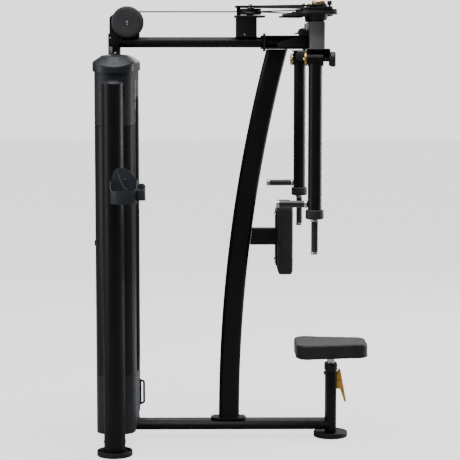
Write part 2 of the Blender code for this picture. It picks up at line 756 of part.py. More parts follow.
def weight_stack():
    rod_top = UPRIGHT_TOP - 0.055 - OVAL_THIN / 2 + 0.004
    rod_bottom = BASE_BOTTOM + OVAL_THIN + GAP
    length, middle = span(rod_bottom, rod_top)
    for side, s in (("left", -1), ("right", 1)):
        rod = cylinder(f"guide_rod_{side}", ROD_R, length, (TOWER_X, s * ROD_Y, middle), sides=20)
        bumper = [(0.030, STACK_BOTTOM - GAP), (0.030, STACK_BOTTOM - 0.040),
                  (0.026, STACK_BOTTOM - 0.050), (ROD_R - 0.001, STACK_BOTTOM - 0.050),
                  (ROD_R - 0.001, STACK_BOTTOM - GAP)]
        ring = turned(f"bumper_{side}", bumper, (TOWER_X, s * ROD_Y, 0), sides=16, closed=True)
        collar = [(0.022, STACK_BOTTOM - 0.048), (0.022, rod_bottom), (ROD_R - 0.001, rod_bottom),
                  (ROD_R - 0.001, STACK_BOTTOM - 0.048)]
        stand = turned(f"stand_{side}", collar, (TOWER_X, s * ROD_Y, 0), sides=16, closed=True)
        weld(rod, ring, stand)
        finish(rod, "zinc")
    resting = plates("resting_plates", STACK_BOTTOM, PLATES_RESTING)
    cut(resting, stem_bore(0.016))
    finish(resting, "cast_iron")
    lifted_z = STACK_BOTTOM + PLATES_RESTING * PLATE_PITCH
    lifted = plates("lifted_plates", lifted_z, PLATES_LIFTED)
    top = lifted_z + PLATES_LIFTED * PLATE_PITCH
    stem_low = STACK_BOTTOM + 0.010
    tall, middle = span(stem_low, top + 0.030)
    stem = cylinder("stem", 0.0125, tall, (STACK_X, 0, middle), sides=20)
    yoke = box("stem_yoke", (STACK_X - 0.014, STACK_X + 0.014), (-0.026, 0.026),
               (top + 0.022, top + 0.044), 0.003)
    weld(lifted, stem, yoke)
    hole = cylinder("selector_hole", 0.0055, 0.3,
                    (STACK_X + 0.1, 0, lifted_z + PLATE_H / 2), ALONG_X, 16)
    cut(lifted, hole)
    finish(lifted, "cast_iron")
    selector(lifted_z + PLATE_H / 2)
    return top + 0.044


def plates(name, bottom, count):
    """Weights one above another, joined into one solid by thin waists."""
    block = box(name, (TOWER_X - PLATE_X / 2, TOWER_X + PLATE_X / 2),
                (-PLATE_Y / 2, PLATE_Y / 2), (bottom + GAP, bottom + PLATE_H))
    top = bottom + (count - 1) * PLATE_PITCH + PLATE_H
    for i in range(1, count):
        z = bottom + i * PLATE_PITCH
        weight = box(f"{name}_{i}", (TOWER_X - PLATE_X / 2, TOWER_X + PLATE_X / 2),
                     (-PLATE_Y / 2, PLATE_Y / 2), (z, z + PLATE_H))
        weld(block, weight)
    core = box(f"{name}_core", (TOWER_X - PLATE_X / 2 + 0.004, TOWER_X + PLATE_X / 2 - 0.004),
               (-PLATE_Y / 2 + 0.004, PLATE_Y / 2 - 0.004), (bottom + 0.005, top - 0.005))
    weld(block, core)
    for s in (-1, 1):
        bore = cylinder(f"{name}_bore_{s}", ROD_R + 0.001, 2.0, (TOWER_X, s * ROD_Y, 1.0),
                        sides=20)
        cut(block, bore)
    return block


def stem_bore(radius):
    return cylinder("stem_bore", radius, 2.0, (STACK_X, 0, 1.0), sides=20)


def selector(z):
    start = STACK_X - 0.010
    face = TOWER_X + PLATE_X / 2
    profile = [(0, face + 0.034), (0.012, face + 0.034), (0.016, face + 0.030),
               (0.016, face + 0.016), (0.009, face + 0.010), (0.009, face + 0.001),
               (0.0048, face + 0.001), (0.0048, start), (0, start)]
    turn = Euler((0, math.radians(90), 0)).to_matrix()
    pin = turned("selector_pin", profile, (0, 0, z), turn, 20)
    smooth(pin)
    finish(pin, "rubber")


def bottle_holder():
    """A scoop with a tall arched back on the left upright, and a small cup beside it."""
    x = (-0.577, -0.444)
    y = (-0.552, -0.4410)
    floor_z, rim_z, back_z = 1.195, 1.2560, 1.359
    width, centre_x = span(*x)
    depth, centre_y = span(*y)
    tall, middle = span(floor_z, back_z)
    item = scoop("bottle_holder", width, depth, tall, (centre_x, centre_y, middle))
    hollow = scoop("bottle_hollow", width - 0.009, depth - 0.009, tall,
                   (centre_x, centre_y, middle + 0.006))
    front = extruded("bottle_front", [[(y[0] - 0.02, rim_z), (y[0] + 0.028, rim_z),
                                       (y[0] + 0.055, rim_z + 0.014), (y[0] + 0.078, rim_z + 0.050),
                                       (y[0] + 0.086, back_z + 0.01), (y[0] - 0.02, back_z + 0.01)]],
                     0.3, (centre_x, 0, 0), ALONG_X)
    arch = [(x[0] - 0.02, 1.283), (x[0], 1.283), (x[0] + 0.020, 1.345),
            (x[0] + 0.040, back_z - 0.001), (x[0] + 0.074, back_z - 0.006),
            (x[0] + 0.110, 1.322), (x[1], 1.291), (x[1] + 0.02, 1.291),
            (x[1] + 0.02, back_z + 0.02), (x[0] - 0.02, back_z + 0.02)]
    crown = extruded("bottle_crown", [arch], 0.3, (0, centre_y, 0), ALONG_Y)
    cut(item, hollow, front, crown)
    cup_r = 0.0215
    cup_x, cup_y = x[1] + cup_r - 0.009, -0.500
    cup_z = (1.211, 1.287)
    tall, middle = span(*cup_z)
    cup = cylinder("side_cup", cup_r, tall, (cup_x, cup_y, middle), sides=24)
    cup_bore = cylinder("side_cup_bore", cup_r - 0.004, tall, (cup_x, cup_y, middle + 0.005), sides=24)
    slant = extruded("side_cup_slant", [[(-0.56, 1.255), (-0.519, 1.259), (-0.481, 1.2872),
                                         (-0.47, 1.31), (-0.56, 1.31)]], 0.1, (cup_x, 0, 0), ALONG_X)
    weld(item, cup)
    cut(item, cup_bore, slant)
    finish(item, "shroud")


def scoop(name, width, depth, tall, centre):
    """A block with a round front, narrower at its foot."""
    x, y = width / 2, depth / 2
    plan = rounded([(-x, -y), (x, -y), (x, y), (-x, y)], [0.050, 0.050, 0.006, 0.006], 6)
    item = extruded(name, [plan], tall, centre)
    for vertex in item.data.vertices:
        if vertex.co.z < 0:
            vertex.co.x *= 0.90
            vertex.co.y = y + (vertex.co.y - y) * 0.94
    return item


# -------------------------------------------------------------------- cables
def cam_tangent(side):
    """Where the cable leaves the guide pulley and where it meets the cam."""
    start = Vector((GUIDE_PULLEY_X, side * GUIDE_PULLEY_Y))
    end = Vector((PIVOT_X, side * PIVOT_Y))
    line = end - start
    distance = line.length
    bearing = math.atan2(line.y, line.x)
    tilt = math.asin((GUIDE_PULLEY_R + CAM_R) / distance)
    heading = bearing + side * tilt
    normal = Vector((math.sin(heading), -math.cos(heading))) * side
    return start + normal * GUIDE_PULLEY_R, end - normal * CAM_R, heading


def cables(anchor_z):
    for side, s in (("left", -1), ("right", 1)):
        y = s * CABLE_Y
        drop = [(STACK_X, y, TOP_PULLEY.z - GAP), (STACK_X, y, anchor_z + GAP)]
        rope = rod_along(f"cable_drop_{side}", drop, CABLE_R)
        finish(rope, "cable")
        bend = arc((TOP_PULLEY.x, TOP_PULLEY.z), TOP_PULLEY_R, 180, 90, 8)
        path = [(x, y, z) for x, z in bend]
        leave, meet, heading = cam_tangent(s)
        steps = 5
        for i in range(steps + 1):
            angle = math.radians(-90 * s) + heading * i / steps
            path.append((GUIDE_PULLEY_X + GUIDE_PULLEY_R * math.cos(angle),
                         s * GUIDE_PULLEY_Y + GUIDE_PULLEY_R * math.sin(angle), CABLE_Z))
        path.append((meet.x, meet.y, CABLE_Z))
        lift = CABLE_Z - (TOP_PULLEY.z + TOP_PULLEY_R)
        run = rod_along(f"cable_run_{side}", [(x, b, z + (lift if z < CABLE_Z - 0.0001 else 0))
                                              for x, b, z in path], CABLE_R)
        finish(run, "cable")


# ---------------------------------------------------------- swinging assembly
def pivot_frame(side, s):
    """An empty on the pivot; pieces under it have +Y pointing out along the boom."""
    empty = bpy.data.objects.new(f"pivot_{side}", None)
    MACHINE.objects.link(empty)
    empty.location = (PIVOT_X, s * PIVOT_Y, 0)
    empty.rotation_euler.z = s * BOOM_BACK
    bpy.context.view_layer.update()
    return empty


def hang(empty, *items):
    """Put pieces built about the pivot's own axes, and their cutters, under it."""
    for item in items:
        item.parent = empty
        hang(empty, *[modifier.object for modifier in item.modifiers if modifier.type == "BOOLEAN"])


def cam(side, s):
    """The cable cam, a disc with a ring of start-angle holes."""
    groove = CAM_R - CABLE_R - GAP
    z0, z1 = CAM_Z
    mid = CABLE_Z
    profile = [(SHAFT_R + FIT, z1), (groove + 0.005, z1), (groove, mid + 0.0034),
               (groove, mid - 0.0034), (groove + 0.006, mid - 0.0056),
               (groove + 0.006, z0), (0.044, z0), (0.040, 2.0340), (SHAFT_R + FIT, 2.0340)]
    item = turned(f"cam_{side}", profile, (0, 0, 0), sides=32, closed=True)
    for i in range(CAM_HOLES):
        angle = math.radians(CAM_HOLE_STEP * i)
        place = (PIN_REACH * math.cos(angle), -s * PIN_REACH * math.sin(angle), mid)
        hole = cylinder(f"cam_hole_{side}_{i}", 0.0055, 0.030, place, sides=8)
        cut(item, hole)
    flat = box(f"cam_flat_{side}", (CAM_FLAT, 0.2), (-0.2, 0.2), (2.0, 2.2))
    cut(item, flat)
    lobe_outline = rounded([(-0.060, -0.070), (-0.060, 0.070), (-LOBE_R, 0.034), (-LOBE_R, -0.034)],
                           [0.002, 0.002, 0.020, 0.020])
    lobe = extruded(f"cam_lobe_{side}", [lobe_outline], 0.008, (0, 0, z0 - 0.003))
    weld(item, lobe)
    smooth(item)
    finish(item, "powder_coat")
    return item


def boom(side, s):
    """The boom with its shaft below the head, and the hub above the cam."""
    tube_z = (1.8455, 1.8925)
    tall, middle = span(*tube_z)
    start, end = -0.036, BOOM_REACH - 0.046
    length, centre = span(start, end)
    outer = rectangle(0.062, tall, 0.008)
    inner = rectangle(0.062 - 2 * WALL, tall - 2 * WALL, 0.005)
    item = extruded(f"boom_{side}", [outer, inner], length, (0, s * centre, middle), ALONG_Y)
    shaft_top = 2.1130
    shaft_tall, shaft_middle = span(tube_z[0] + 0.001, shaft_top)
    shaft = cylinder(f"shaft_{side}", SHAFT_R, shaft_tall, (0, 0, shaft_middle))
    flange = cylinder(f"shaft_flange_{side}", 0.028, 0.004,
                      (0, 0, BEARING_Z[0] - GAP - 0.002))
    roof_y = sorted((s * (end - 0.040), s * (BOOM_REACH + 0.030)))
    roof = box(f"yoke_roof_{side}", (-0.040, 0.062), roof_y, (1.8925 - 0.001, 1.8985), 0.002)
    web = box(f"yoke_web_{side}", (-0.040, 0.060), sorted((s * (end - 0.006), s * (end + 0.004))),
              (1.848, 1.895))
    ear_outline = rounded([(s * (BOOM_REACH - 0.045), 1.8965), (s * (BOOM_REACH - 0.028), 1.822),
                           (s * (BOOM_REACH + 0.028), 1.822), (s * (BOOM_REACH + 0.028), 1.8965)][::s],
                          [0.003, 0.020, 0.020, 0.003][::s])
    ear = extruded(f"ear_{side}", [ear_outline], 0.006, (EAR_X, 0, 0), ALONG_X)
    weld(item, shaft, flange, roof, web, ear)
    hole = cylinder(f"pin_hole_{side}", PIN_R + GAP, 0.2, (0, s * BOOM_REACH, HINGE_Z), ALONG_X, 24)
    cut(item, hole)
    finish(item, "powder_coat")
    return item


def boom_hub(side, s):
    """The hub clamped on the shaft's top, with the pop-pin's arm."""
    z = (2.0845, 2.0985)
    tall, middle = span(*z)
    outline = rounded([(0.010, -0.038), (0.068, -0.018), (0.068, 0.018), (0.010, 0.038),
                       (-0.040, 0.030), (-0.040, -0.030)], [0.004, 0.014, 0.014, 0.004, 0.02, 0.02])
    bores = [circle(SHAFT_R + GAP), circle(0.0058, (PIN_REACH, 0), 12)]
    item = extruded(f"boom_hub_{side}", [outline, *bores], tall, (0, 0, middle))
    finish(item, "powder_coat")
    return item


def pop_pin(side, s):
    profile = [(0, 2.1240), (0.009, 2.1240), (0.0115, 2.1215), (0.0115, 2.1060), (0.0095, 2.1035),
               (0.0045, 2.1035), (0.0045, 2.0860), (0.0035, 2.0845), (0, 2.0845)]
    item = turned(f"pop_pin_{side}", profile, (PIN_REACH, 0, 0), sides=16)
    smooth(item)
    finish(item, "rubber")
    return item


def arm(side, s):
    """The barrel, the hanging tube, and the level handle's core."""
    y = s * BOOM_REACH
    barrel = cylinder(f"arm_{side}", BARREL_R, 2 * BARREL_HALF, (0, y, HINGE_Z), ALONG_X)
    tall, middle = span(ARM_BOTTOM, HINGE_Z - 0.010)
    tube = cylinder(f"arm_tube_{side}", ARM_R, tall, (0, y, middle))
    weld(barrel, tube)
    core_z = 1.207
    core = cylinder(f"handle_core_{side}", 0.0105, 0.150, (-0.020 - 0.075, y, core_z), ALONG_X, 20)
    weld(barrel, core)
    hollow_tall, hollow_middle = span(ARM_BOTTOM - 0.01, HINGE_Z - BARREL_R - 0.002)
    hollow = cylinder(f"arm_hollow_{side}", ARM_R - WALL, hollow_tall, (0, y, hollow_middle))
    bore = cylinder(f"arm_bore_{side}", PIN_R + FIT, 0.1, (0, y, HINGE_Z), ALONG_X, 24)
    cut(barrel, hollow, bore)
    finish(barrel, "powder_coat")
    return barrel


def hinge_pin(side, s):
    """The arm's hinge pin, with a round end cap outside the ear and a flange inside."""
    x_cap = EAR_X + 0.003 + GAP
    flange = -BARREL_HALF - 0.0015
    profile = [(0, x_cap + 0.024), (0.030, x_cap + 0.024), (0.0335, x_cap + 0.020),
               (0.0335, x_cap + 0.003), (0.031, x_cap), (PIN_R, x_cap), (PIN_R, flange),
               (0.030, flange), (0.030, flange - 0.0105), (0, flange - 0.0105)]
    turn = Euler((0, math.radians(90), 0)).to_matrix()
    item = turned(f"hinge_pin_{side}", profile, (0, s * BOOM_REACH, HINGE_Z), turn)
    smooth(item)
    finish(item, "rubber")
    return item


def grips(side, s):
    """The collar with the upright grip, and the level grip."""
    y = s * BOOM_REACH
    top = ARM_BOTTOM - GAP
    plug = ARM_R - WALL - 2 * GAP
    profile = [(0, top + 0.018), (plug, top + 0.018), (plug, top),
               (COLLAR_R - 0.004, top), (COLLAR_R, top - 0.004), (COLLAR_R, 1.144),
               (COLLAR_R - 0.004, 1.140), (GRIP_R, 1.140), (GRIP_R, 0.984),
               (GRIP_R - 0.003, 0.981), (0, 0.981)]
    upright_grip = turned(f"grip_upright_{side}", profile, (0, y, 0))
    smooth(upright_grip)
    finish(upright_grip, "rubber")
    start, end = ARM_R + 0.004, ARM_R + 0.141
    core = 0.0105 + GAP
    inside = -0.1705
    level = [(0, inside), (core, inside), (core, -start), (GRIP_R, -start),
             (GRIP_R, -end + 0.003), (GRIP_R - 0.003, -end), (0, -end)]
    turn = Euler((0, math.radians(90), 0)).to_matrix()
    level_grip = turned(f"grip_level_{side}", level, (0, y, 1.207), turn)
    smooth(level_grip)
    finish(level_grip, "rubber")
    return upright_grip, level_grip


def swinging_assembly():
    for side, s in (("left", -1), ("right", 1)):
        empty = pivot_frame(side, s)
        hang(empty, cam(side, s), boom(side, s), boom_hub(side, s), pop_pin(side, s),
             arm(side, s), hinge_pin(side, s), *grips(side, s))


# ---------------------------------------------------------------------- seat
def seat():
    bottom = FOOT_H + GAP
    tall, middle = span(bottom, SEAT_POST_TOP)
    post = hollow_oval("seat_post", 0.054, 0.100, tall, (SEAT_X, 0, middle), ALONG_Z)
    window = box("seat_pin_hole", (SEAT_X + 0.015, SEAT_X + 0.04), (-0.009, 0.009), (0.270, 0.300))
    cut(post, window)
    for s in (-1, 1):
        lug = box(f"lever_lug_{s}", (SEAT_X + 0.0265, SEAT_X + 0.042),
                  sorted((s * 0.0125, s * 0.0165)), (0.268, 0.318), 0.001)
        weld(post, lug)
    pivot = cylinder("lever_pivot", 0.004, 0.031, (SEAT_X + 0.036, 0, 0.310), ALONG_Y, 16)
    weld(post, pivot)
    finish(post, "powder_coat")

    slide_x, slide_y = 0.033, 0.078
    sleeve_outer = oval(0.062, 0.108)
    sleeve_inner = rectangle(slide_x + 0.0012, slide_y + 0.0012, 0.004)
    sleeve = extruded("seat_sleeve", [sleeve_outer, sleeve_inner], SLEEVE_H,
                      (SEAT_X, 0, SEAT_POST_TOP + GAP + SLEEVE_H / 2))
    smooth(sleeve)
    finish(sleeve, "rubber")

    slide_low, slide_high = 0.060, SEAT_PAD_Z[0] - 0.004
    tall, middle = span(slide_low, slide_high)
    outer = rectangle(slide_x, slide_y, 0.004)
    inner = rectangle(slide_x - 2 * WALL, slide_y - 2 * WALL, 0.002)
    slide = extruded("seat_slide", [outer, inner], tall, (SEAT_X, 0, middle))
    plate = extruded("seat_plate", [rectangle(0.200, 0.110, 0.012)], 0.0065,
                     (SEAT_X, 0, SEAT_PAD_Z[0] - GAP - 0.00325))
    weld(slide, plate)
    for i in range(6):
        hole = cylinder(f"seat_hole_{i}", 0.006, 0.03,
                        (SEAT_X + 0.016, 0, 0.085 + 0.04 * i), ALONG_X, 12)
        cut(slide, hole)
    finish(slide, "zinc")

    x0, x1 = SEAT_PAD_X
    corners = [(x0, -0.165), (x1, -0.110), (x1, 0.110), (x0, 0.165)]
    tall, middle = span(*SEAT_PAD_Z)
    pad = extruded("seat_pad", [rounded(corners, [0.055, 0.050, 0.050, 0.055], 6)], tall,
                   (0, 0, middle))
    edge = pad.modifiers.new("edge", "BEVEL")
    edge.width = 0.014
    edge.segments = 3
    edge.limit_method = "ANGLE"
    edge.angle_limit = math.radians(50)
    finish(pad, "upholstery")
    lever()


def lever():
    """The yellow release lever that hangs from the seat post."""
    x, z = SEAT_X + 0.036, 0.310
    outline = rounded([(x - 0.0080, z - 0.072), (x + 0.010, z - 0.072), (0.5435, 0.172),
                       (0.5525, 0.174), (0.5225, 0.336), (0.5165, 0.336), (x - 0.0080, z + 0.004)],
                      [0.003, 0.002, 0.004, 0.004, 0.0025, 0.0025, 0.003])
    item = extruded("seat_lever", [outline, circle(0.0045, (x, z), 16)], 0.024, (0, 0, 0), ALONG_Y)
    finish(item, "safety_yellow")


# --------------------------------------------------------------------- build
def build():
    base_frame()
    mast()
    overhead()
    pulley_head()
    guide_pulleys()
    tie_plate()
    head()
    chest_rest()
    shroud()
    anchor_z = weight_stack()
    bottle_holder()
    cables(anchor_z)
    swinging_assembly()
    seat()


build()
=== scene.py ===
"""Looks of the seated fly machine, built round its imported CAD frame.

Metres, +Z up, in the frame's own axes: the tower stands at -X, the seat at +X,
and -Y is the left side, which faces the camera.
"""
import json
import math

import bmesh
import bpy
from mathutils import Matrix, Vector, noise


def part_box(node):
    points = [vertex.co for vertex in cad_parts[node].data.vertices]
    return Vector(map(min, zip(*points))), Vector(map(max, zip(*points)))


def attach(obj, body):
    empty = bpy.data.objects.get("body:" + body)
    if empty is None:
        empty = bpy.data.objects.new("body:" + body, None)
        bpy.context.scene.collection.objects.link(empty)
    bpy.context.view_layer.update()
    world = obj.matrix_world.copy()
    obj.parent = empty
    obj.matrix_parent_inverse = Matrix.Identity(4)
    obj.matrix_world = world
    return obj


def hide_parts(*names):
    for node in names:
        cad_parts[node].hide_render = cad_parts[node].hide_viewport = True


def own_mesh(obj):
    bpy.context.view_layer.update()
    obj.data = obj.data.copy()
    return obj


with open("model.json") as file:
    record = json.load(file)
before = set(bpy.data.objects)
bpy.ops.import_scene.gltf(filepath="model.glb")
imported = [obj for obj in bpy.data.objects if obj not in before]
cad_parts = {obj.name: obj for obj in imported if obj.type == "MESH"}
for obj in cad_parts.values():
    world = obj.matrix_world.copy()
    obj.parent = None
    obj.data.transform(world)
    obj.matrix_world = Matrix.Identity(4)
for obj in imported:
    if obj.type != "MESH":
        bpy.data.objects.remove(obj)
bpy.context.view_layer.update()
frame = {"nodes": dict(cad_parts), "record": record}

BODY = {node: body for body, members in frame["record"]["behaviour"]["bodies"].items()
        for node in members}
SLOT = {part["node"]: part["material_slot"] for part in frame["record"]["subparts"]}
JOINTS = {joint["name"]: joint for joint in frame["record"]["behaviour"]["joints"]}
SIDES = (("left", -1), ("right", 1))

ALONG_X = Matrix(((0, 0, 1), (1, 0, 0), (0, 1, 0)))      # outline x, y -> Y, Z
ALONG_Y = Matrix(((1, 0, 0), (0, 0, -1), (0, 1, 0)))     # outline x, y -> X, Z
ALONG_Z = Matrix.Identity(3)
MM = 0.001
TUBE_WALL = 3 * MM
STRAIGHT_Y = 0.262             # where the tower's rounded ends begin
SKIRT = 0.012                  # the lower moulding hangs this far below its CAD solid
SLOT_Y = 0.048                 # half the width of the selector slot
SLOT_Z = (0.40, 1.13)
LID_THICK = 6.2 * MM           # the lid plate, with its clearance
FLOOR_SEEN = 1.6               # the floor's own glow, as the camera sees it
SKY_SEEN = 1.9                 # the surround, as the camera sees it
SKY_LIGHT = 0.24               # the light that the surround gives

# The tower's cap, level by level: half width, end of the straight sides, end of the plan,
# then the height at the sides and at the ends. The levels past CAP_OUTER are its inside.
CAP_OUTER = 12
CAP_LEVELS = [(0.083, 0.258, 0.322, 0, 0), (0.095, 0.262, 0.341, 0, 0),
              (0.095, 0.262, 0.341, -0.002, -0.010), (0.100, 0.262, 0.346, -0.002, -0.010),
              (0.100, 0.262, 0.346, 0.037, 0.014), (0.0985, 0.261, 0.3445, 0.0425, 0.0195),
              (0.0940, 0.258, 0.339, 0.0460, 0.0235), (0.076, 0.247, 0.312, 0.0595, 0.0440),
              (0.057, 0.235, 0.285, 0.0720, 0.0640), (0.042, 0.225, 0.266, 0.0755, 0.0715),
              (0.028, 0.215, 0.250, 0.0768, 0.0758), (0.010, 0.200, 0.225, 0.0770, 0.0768),
              (0.010, 0.200, 0.225, 0.0715, 0.0710), (0.053, 0.230, 0.278, 0.066, 0.056),
              (0.083, 0.258, 0.322, 0.040, 0.008)]


# ------------------------------------------------------------------ materials
class Shader:
    """A Principled material whose detail is added step by step."""

    def __init__(self, name, roughness, metallic=0.0, **sockets):
        self.material = bpy.data.materials.new(name)
        self.material.use_nodes = True
        self.tree = self.material.node_tree
        self.principled = self.tree.nodes["Principled BSDF"]
        self.principled.inputs["Roughness"].default_value = roughness
        self.principled.inputs["Metallic"].default_value = metallic
        for socket, value in sockets.items():
            self.principled.inputs[socket.replace("_", " ")].default_value = value
        self.place = self.add("ShaderNodeTexCoord").outputs["Object"]
        self.height = None

    def add(self, kind, inputs=None, **settings):
        node = self.tree.nodes.new(kind)
        for name, value in settings.items():
            setattr(node, name, value)
        for name, value in (inputs or {}).items():
            if isinstance(value, bpy.types.NodeSocket):
                self.tree.links.new(value, node.inputs[name])
            else:
                node.inputs[name].default_value = value
        return node

    def noise(self, scale, detail=3.0, roughness=0.5, place=None):
        inputs = {"Vector": place or self.place, "Scale": scale, "Detail": detail,
                  "Roughness": roughness}
        return self.add("ShaderNodeTexNoise", inputs).outputs["Fac"]

    def cells(self, scale, feature="F1"):
        inputs = {"Vector": self.place, "Scale": scale}
        node = self.add("ShaderNodeTexVoronoi", inputs, feature=feature)
        return node.outputs["Distance"]

    def stretched(self, x, y, z):
        inputs = {"Vector": self.place, "Scale": (x, y, z)}
        return self.add("ShaderNodeMapping", inputs).outputs["Vector"]

    def remap(self, value, low, high, to_low=0.0, to_high=1.0):
        inputs = {"Value": value, "From Min": low, "From Max": high, "To Min": to_low,
                  "To Max": to_high}
        return self.add("ShaderNodeMapRange", inputs).outputs["Result"]

    def blend(self, factor, first, second):
        node = self.add("ShaderNodeMix", data_type="RGBA")
        for socket, value in ((0, factor), (6, first), (7, second)):
            if isinstance(value, bpy.types.NodeSocket):
                self.tree.links.new(value, node.inputs[socket])
            else:
                node.inputs[socket].default_value = (*value, 1.0) if socket else value
        return node.outputs[2]

    def colour(self, value):
        self.tree.links.new(value, self.principled.inputs["Base Color"])
        return self

    def vary(self, first, second, scale, low=0.35, high=0.65):
        """Colour that drifts between two tones."""
        factor = self.remap(self.noise(scale), low, high)
        return self.colour(self.blend(factor, first, second))

    def rough_by(self, value):
        self.tree.links.new(value, self.principled.inputs["Roughness"])
        return self

    def rough(self, scale, low, high):
        return self.rough_by(self.remap(self.noise(scale, 4.0), 0.35, 0.65, low, high))

    def bump(self, value, strength, depth):
        inputs = {"Height": value, "Strength": strength, "Distance": depth}
        if self.height:
            inputs["Normal"] = self.height
        self.height = self.add("ShaderNodeBump", inputs).outputs["Normal"]
        self.tree.links.new(self.height, self.principled.inputs["Normal"])
        return self


def powder_coat(name, first, second, low=0.36, high=0.46):
    """Satin powder coat: orange peel, faint mottling and rubbed patches."""
    shader = Shader(name, 0.35, Specular_IOR_Level=0.24)
    shader.vary(first, second, 7.0)
    shader.rough(23.0, low, high)
    shader.bump(shader.noise(620.0, 2.0), 0.16, 0.4 * MM)
    shader.bump(shader.noise(2400.0, 1.0), 0.05, 0.2 * MM)
    return shader.material


def moulded(name, first, second, low, high, grain=1500.0, depth=0.25, level=0.30):
    """Textured moulded plastic: fine spark-eroded grain over a faint sink."""
    shader = Shader(name, low, Specular_IOR_Level=level)
    shader.vary(first, second, 9.0)
    shader.rough(60.0, low, high)
    shader.bump(shader.cells(grain), depth, 0.3 * MM)
    shader.bump(shader.noise(14.0, 2.0), 0.06, 1.5 * MM)
    return shader.material


def smoked_panel():
    """Dark smoked sheet: satin-smooth, with dust and fine wipe marks."""
    shader = Shader("smoked_sheet", 0.3, Specular_IOR_Level=0.25)
    dust = shader.remap(shader.noise(55.0, 6.0, 0.65), 0.52, 0.80)
    shader.colour(shader.blend(dust, (0.0050, 0.0066, 0.0080), (0.0075, 0.0095, 0.0115)))
    wipes = shader.noise(90.0, 3.0, 0.6, shader.stretched(1.0, 6.0, 0.4))
    shader.rough_by(shader.remap(wipes, 0.3, 0.7, 0.30, 0.38))
    shader.bump(shader.noise(5.0, 1.0), 0.05, 2.0 * MM)
    return shader.material


def vinyl():
    """Upholstery vinyl: pebbled grain in cells, pores and gentle tone changes."""
    shader = Shader("charcoal_vinyl", 0.45, Sheen_Weight=0.02, Sheen_Roughness=0.5,
                    Specular_IOR_Level=0.22)
    shader.vary((0.021, 0.021, 0.022), (0.031, 0.031, 0.032), 16.0)
    shader.rough(90.0, 0.36, 0.50)
    grain = shader.cells(430.0, "SMOOTH_F1")
    shader.bump(shader.remap(grain, 0.0, 0.7), 0.55, 0.5 * MM)
    shader.bump(shader.noise(2100.0, 2.0), 0.15, 0.15 * MM)
    shader.bump(shader.noise(11.0, 3.0), 0.22, 2.0 * MM)
    return shader.material


def rubber(name, first, second, low=0.55, high=0.75):
    shader = Shader(name, 0.65, Specular_IOR_Level=0.35)
    shader.vary(first, second, 30.0)
    shader.rough(70.0, low, high)
    shader.bump(shader.noise(1300.0, 3.0), 0.30, 0.25 * MM)
    return shader.material


def brushed(name, first, second, low, high, stretch):
    """Bright metal with fine lines along one direction."""
    shader = Shader(name, low, 1.0, Anisotropic=0.3)
    shader.vary(first, second, 40.0)
    lines = shader.noise(700.0, 2.0, 0.6, shader.stretched(*stretch))
    shader.rough_by(shader.remap(lines, 0.3, 0.7, low, high))
    shader.bump(lines, 0.10, 0.1 * MM)
    return shader.material


def cast_iron():
    shader = Shader("painted_iron", 0.5, 0.35)
    shader.vary((0.020, 0.020, 0.022), (0.034, 0.034, 0.036), 45.0)
    shader.rough(80.0, 0.42, 0.62)
    shader.bump(shader.noise(420.0, 4.0, 0.7), 0.35, 0.5 * MM)
    return shader.material


def cable_jacket():
    """Nylon jacket through which the strands just show."""
    shader = Shader("cable_jacket", 0.30, Coat_Weight=0.3)
    shader.vary((0.006, 0.006, 0.006), (0.012, 0.012, 0.012), 60.0)
    wave = shader.add("ShaderNodeTexWave", {"Vector": shader.stretched(1.0, 2.0, 1.0),
                                            "Scale": 260.0, "Distortion": 1.0})
    shader.bump(wave.outputs["Fac"], 0.15, 0.2 * MM)
    return shader.material


def yellow_paint():
    """Safety yellow powder coat, rubbed thin in places."""
    shader = Shader("lever_yellow", 0.4)
    shader.vary((0.76, 0.41, 0.030), (0.88, 0.50, 0.050), 60.0)
    shader.rough(120.0, 0.32, 0.48)
    shader.bump(shader.noise(900.0, 2.0), 0.2, 0.3 * MM)
    return shader.material


def paper(name, colour, second):
    shader = Shader(name, 0.4, Coat_Weight=0.25)
    shader.vary(colour, second, 120.0)
    shader.rough(200.0, 0.32, 0.45)
    shader.bump(shader.noise(1500.0, 2.0), 0.05, 0.1 * MM)
    return shader.material


